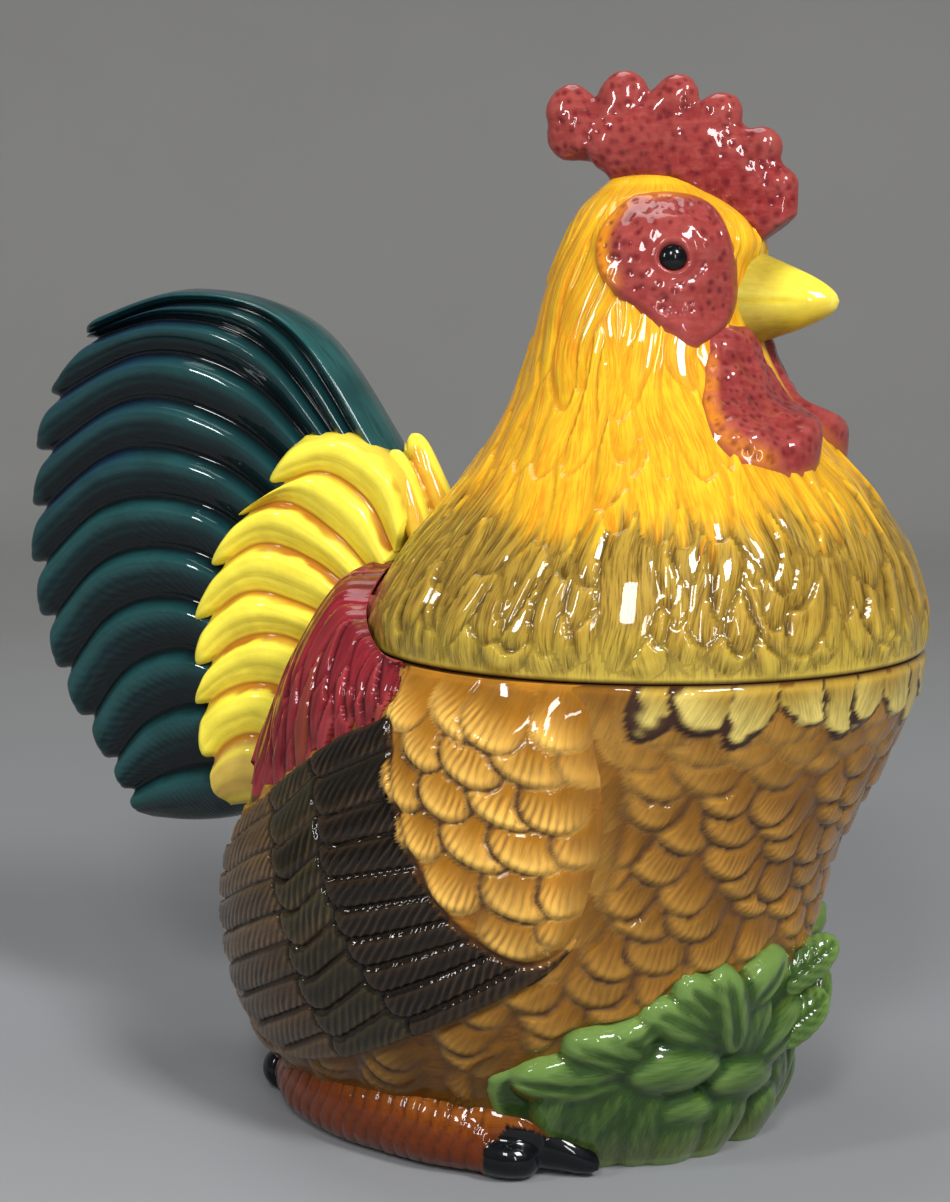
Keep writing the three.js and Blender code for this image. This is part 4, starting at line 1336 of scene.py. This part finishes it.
def make_comb():
    shells = []
    base = along(COMB_BASE, 30)
    thick = np.interp(np.linspace(0, 1, 30), (0, 0.2, 0.7, 1), (6.5, 7.5, 6.5, 4.5))
    tall = np.interp(np.linspace(0, 1, 30), (0, 0.2, 0.6, 0.85, 1), (6, 12.0, 14.5, 12.0, 7.0))
    shells.append(tube(in_plane(base, 0.0), tall, thick, (1, 0, 0), sides=26))
    for root, tip, wide, narrow in COMB_LOBES:
        line = in_plane(along([root, tip], 16), 0.0)
        end = blunt(np.linspace(-0.6, 1, 16), 5, 0.05)
        width = np.linspace(wide, narrow, 16) * end
        shells.append(tube(line, width, np.linspace(6.2, 4.6, 16) * end, (1, 0, 0), sides=22))
    mesh = fused("comb_points", shells, 0.8, 6)
    verts, normals = read_verts(mesh), read_normals(mesh)
    pits = pitted(verts, normals, 3.0, 21) * smooth(1.0, 2.5, np.abs(verts[:, 0]))
    verts = verts + normals * (0.45 * lumps(verts, 5.0, 12) - 0.30 * pits)[:, None]
    write_verts(mesh, verts)
    low = smooth(302, 284, verts[:, 2])
    paint = blend(blend(RED, RED_LIGHT, 0.3), RED, low)
    add_piece("comb_points", mesh, "lid", comb_glaze, ["comb"], paint, RED_LIGHT, even(verts),
              RED_DARK, RED_LIGHT, pits * 0.8)


FACE_EDGE = [(-30, 283), (-46, 281.5), (-56, 271), (-58, 257), (-56, 243), (-49, 237), (-42, 241), (-34, 247),
             (-25, 253), (-18.5, 262), (-20, 275)]
EYE = (-42.0, 263.0)


def make_face(side):
    angles = np.linspace(-2.6, -0.02, 190)
    heights = np.linspace(233, 287, 100)
    points, normals = surface_grid(lid, angles, heights)
    flat = points.reshape(-1, 3)
    inside = depth_inside(flat[:, 1:], loop(FACE_EDGE, 120))
    eye = lid.near(*EYE)
    gap = np.linalg.norm(flat - eye, axis=1)
    pits = pitted(flat, normals.reshape(-1, 3), 3.0, 31) * smooth(1, 4, inside) * smooth(6, 9, gap)
    pits *= smooth(241, 250, flat[:, 2])
    height = -1.2 + 3.4 * smooth(-1.2, 3.2, inside) + 0.8 * smooth(2, 12, inside)
    height += 0.8 * lumps(flat, 4.6, 13) * smooth(0, 3, inside) * smooth(4, 7, gap) - 0.35 * pits
    height += 0.6 * np.exp(-((gap - 4.7) / 0.7) ** 2) - 1.0 * smooth(4.2, 3.4, gap)
    height += 0.5 * np.exp(-((gap - 9.5) / 2.2) ** 2)
    rear = smooth(-31, -22, flat[:, 1]) * smooth(250, 256, flat[:, 2]) + 0.8 * smooth(277, 283, flat[:, 2])
    rear *= smooth(9.0, 4.0, inside)
    paint = blend(blend(RED, RED_LIGHT, 0.35), ORANGE, np.clip(rear * 1.2, 0, 1))
    rim = smooth(1.6, 0.4, inside)
    paint = blend(paint, (0.35, 0.10, 0.01), rim)
    brush = blend(RED_LIGHT, ORANGE, np.clip(rear, 0, 1))
    top = (flat + normals.reshape(-1, 3) * height[:, None]).reshape(points.shape)
    kept = cells_above(height.reshape(points.shape[:2]), -0.9)
    verts, faces, used = patch(top, points - normals * 2.6, kept)
    flow, paint, brush, pits = doubled(used, even(flat), paint, brush, pits)
    if side > 0:
        verts, faces = flipped(verts, faces)
    mesh = make_mesh(on_side("face_skin", side), verts, faces)
    add_piece(mesh.name, mesh, "lid", comb_glaze, [on_side("face", side)], paint, brush, flow,
              paint * 0.45, blend(paint, RED_LIGHT, 0.6), 0.8 * pits)


def make_eye(side):
    """A domed black bead with a flattened back, set in the ring of the eyelid."""
    mirror = (-side, 1, 1)
    centre = lid.near(*EYE) * mirror
    out = lid.normal(lid.angle_at(*EYE), EYE[1]) * mirror
    up = unit(np.array([0, 0, 1.0]) - out * out[2])
    across = np.cross(up, out)
    angle = np.arange(48) / 48 * TAU
    rings = []
    for turn in np.linspace(0, math.pi, 26)[1:-1]:
        height, radius = math.cos(turn), math.sin(turn)
        height = height * 2.9 if height > 0 else height * 1.6
        ring = (centre + out * (height + 1.5) + across * (4.1 * radius * np.cos(angle))[:, None]
                + up * (4.1 * radius * np.sin(angle))[:, None])
        rings.append(ring)
    rings.reverse()
    verts, faces = capped(rings, centre + out * -0.1, centre + out * 4.4)
    mesh = make_mesh(on_side("eye_bead", side), verts, faces)
    add_piece(mesh.name, mesh, "lid", black_glaze, [on_side("eye", side)],
              INK, INK, verts, INK, INK)


def make_beak():
    """A cone with a keeled top, a drooping tip and the line of the mouth along each side."""
    rows, cols = 60, 96
    rings, tones = [], []
    angle = np.arange(cols) / cols * TAU
    for t in np.linspace(0, 1, rows):
        size = (1 - 0.76 * t) * np.sqrt(np.clip(1 - t ** 10, 0, 1)) + 0.0001
        y = np.interp(t, (0, 1), (-46.0, -84.3))
        z = 253.5 - 2.4 * t
        across, up = np.sin(angle), np.cos(angle)
        wide = 16.5 * size * (1 - 0.20 * np.clip(up, 0, 1))
        tall = np.where(up > 0, 18.5, 19.0) * size
        gape = np.exp(-((up * tall + 1.5 - 1.5 * t) / 0.8) ** 2) * smooth(0.80, 0.6, t)
        x = across * np.abs(across) ** 0.12 * (wide - 0.35 * gape)
        rings.append(np.stack([x, np.full(cols, y), z + up * tall], -1))
        tones.append(gape)
    rings.reverse()
    tones.reverse()
    verts, faces = capped(rings, (0, -84.4, 251.1), (0, -46.0, 253.5))
    mesh = make_mesh("beak_horn", verts, faces)
    gape = np.append(np.concatenate(tones), (0, 0))
    verts = verts + read_normals(mesh) * (0.10 * lumps(verts, 7.0, 14))[:, None]
    write_verts(mesh, verts)
    # Darker olive low on the beak: painted shade on its underside.
    under = smooth(250, 240, verts[:, 2] + 0.4 * (verts[:, 1] + 60))
    foot = lid.at(lid.angle_of(verts), verts[:, 2])
    proud = np.linalg.norm(verts - (0, -25, 0), axis=1) - np.linalg.norm(foot - (0, -25, 0), axis=1)
    base = smooth(2.4, 0.6, proud)
    paint = blend((0.80, 0.66, 0.05), (0.50, 0.34, 0.02), 0.8 * under)
    paint = blend(paint, (0.20, 0.10, 0.015), 0.7 * base)
    paint = blend(paint, (0.60, 0.44, 0.03), 0.5 * gape)
    add_piece("beak_horn", mesh, "lid", beak_glaze, ["beak"], paint, blend(paint, LEMON, 0.25),
              verts, (0.20, 0.11, 0.015), (0.90, 0.82, 0.16))


# the edge of a wattle, by degrees round from the front and height
WATTLE_EDGE = [(-13, 244), (-40, 243), (-48, 232), (-54, 221), (-52, 210), (-43, 204), (-30, 202), (-17, 205),
               (-8, 211), (-3, 221), (-5, 234)]


def make_wattle(side):
    """A wattle that hangs from the beak down the neck, thick and pimpled along its lower edge."""
    angles = np.radians(np.linspace(-68, 6, 120))
    heights = np.linspace(196, 248, 96)
    points, normals = surface_grid(lid, angles, heights)
    flat, across = points.reshape(-1, 3), 45.0
    edge = loop(WATTLE_EDGE, 120) * (math.radians(1) * across, 1)
    chart = np.stack(np.meshgrid(angles * across, heights), -1).reshape(-1, 2)
    inside = depth_inside(chart, edge)
    low = smooth(223, 209, flat[:, 2])
    front = smooth(-34, -14, np.degrees(chart[:, 0] / across))
    thick = 3.6 + 3.0 * low + 4.5 * low * front
    height = -1.2 + thick * np.sqrt(smooth(-1.0, 5.0 + 2 * low, inside))
    pits = pitted(flat, normals.reshape(-1, 3), 2.8, 41) * smooth(0.5, 2, inside)
    uneven = 1.1 * lumps(flat, 4.5, 15) + 0.4 * lumps(flat * (1, 1, 0.5), 2.6, 18)
    height += uneven * smooth(0, 3, inside) - 0.35 * pits
    degrees = np.degrees(chart[:, 0] / across)
    hollow = np.exp(-((inside - 5.5) / 1.3) ** 2) * smooth(216, 226, flat[:, 2]) * smooth(-30, -42, degrees)
    top = (flat + normals.reshape(-1, 3) * (height - 0.5 * hollow)[:, None]).reshape(points.shape)
    kept = cells_above(height.reshape(points.shape[:2]), -0.9)
    verts, faces, used = patch(top, points - normals * 2.6, kept)
    rear = smooth(-34, -42, degrees) * smooth(240, 230, flat[:, 2]) * smooth(6, 2, inside)
    paint = blend(blend(RED, RED_LIGHT, 0.25), ORANGE, 0.85 * rear)
    paint = blend(paint, (0.30, 0.09, 0.01), smooth(1.4, 0.4, inside))
    paint, pits = doubled(used, paint, pits)
    if side > 0:
        verts, faces = flipped(verts, faces)
    mesh = make_mesh(on_side("wattle_flap", side), verts, faces)
    add_piece(mesh.name, mesh, "lid", comb_glaze, [on_side("wattle", side)], paint, RED_LIGHT,
              even(verts), RED_DARK, RED_LIGHT, 0.7 * pits)


# --- Stage, light and camera ---

def make_stage():
    floor = bpy.data.objects.new("floor", make_mesh("floor", *sweep()))
    bpy.context.collection.objects.link(floor)
    n = Nodes("floor_paper")
    place = n.add("TexCoord").outputs["Object"]
    tone = n.between(n.noise(place, 3.0, 2.0), 0.3, 0.7, 0.98, 1.02)
    grey = n.add("CombineXYZ", {0: tone, 1: tone, 2: tone}).outputs[0]
    # Darker paper close to the jar, paler far off: painted shade round the jar.
    shade_fade = n.between(n.add("VectorMath", {0: place}, operation="LENGTH").outputs["Value"], 0.3, 1.8)
    paper = n.mix(shade_fade, (0.25, 0.257, 0.268), (0.49, 0.485, 0.47))
    n.put(n.shader.inputs["Base Color"], n.mix(1.0, paper, grey, "MULTIPLY"))
    n.shader.inputs["Roughness"].default_value = 0.75
    floor.data.materials.append(n.material)
    floor.data.shade_smooth()


def sweep():
    """A wide paper sweep: flat underfoot and curved up into a backdrop on every side."""
    turns, cols = [], 64
    profile = [(0, 0), (900, 0), (1500, 0), (1900, 60), (2250, 330), (2420, 800), (2450, 1600), (2450, 2600)]
    radii = along(profile, 40)
    for r, z in radii:
        angle = np.arange(cols) / cols * TAU
        turns.append(np.stack([r * np.cos(angle), r * np.sin(angle), np.full(cols, z)], -1))
    return np.concatenate(turns), grid_faces(len(turns), cols, True)


def add_light(name, place, target, size, watts, colour=(1, 1, 1)):
    data = bpy.data.lights.new(name, "AREA")
    data.shape = "RECTANGLE"
    data.size, data.size_y = size
    data.energy = watts
    data.color = colour
    light = bpy.data.objects.new(name, data)
    light.location = place
    light.rotation_euler = (Vector(target) - Vector(place)).to_track_quat("-Z", "Y").to_euler()
    bpy.context.collection.objects.link(light)


def make_lights():
    """A bright window beside the camera, smaller lamps for crisp glints, and soft light from above."""
    add_light("key", (-0.72, -1.02, 1.25), (0, 0, 0.16), (0.34, 0.44), 23)
    add_light("window", (-0.95, -0.20, 0.85), (0, 0, 0.18), (0.18, 0.28), 5.5)
    add_light("strip", (-0.95, -0.75, 0.50), (0, 0, 0.18), (0.07, 0.40), 2.5)
    add_light("rear", (-0.75, 0.50, 0.60), (0, 0.08, 0.18), (0.07, 0.30), 3)
    add_light("top", (0.2, 0.3, 1.7), (0, 0, 0.1), (0.8, 0.8), 8)
    world = bpy.data.worlds.new("studio")
    world.use_nodes = True
    background = world.node_tree.nodes["Background"]
    background.inputs["Color"].default_value = (0.90, 0.95, 1.0, 1)
    background.inputs["Strength"].default_value = 0.085
    bpy.context.scene.world = world
    bpy.context.scene.view_settings.view_transform = "Standard"


def make_camera():
    """On the bird's right, a little in front of square, level with its throat and looking slightly down."""
    data = bpy.data.cameras.new("camera")
    data.sensor_width = 36
    data.lens = 59.9
    data.clip_start = 0.01
    camera = bpy.data.objects.new("camera", data)
    camera.location = (-0.582, -0.206, 0.239)
    pitch = math.radians(7.33)
    heading = Vector((0.927, 0.375, 0)).normalized() * math.cos(pitch)
    aim = Vector((heading.x, heading.y, -math.sin(pitch)))
    camera.rotation_euler = aim.to_track_quat("-Z", "Y").to_euler()
    bpy.context.collection.objects.link(camera)
    bpy.context.scene.camera = camera


make_camera()
make_jar()
make_lid()
make_tail()
wing_shape = make_wing_relief()
for side in (-1, 1):
    make_coverts(side)
    make_wing(side, wing_shape)
    make_saddle(side)
    make_foot(side)
    make_face(side)
    make_eye(side)
    make_wattle(side)
make_leaves()
make_ridge()
make_comb()
make_beak()
make_stage()
make_lights()
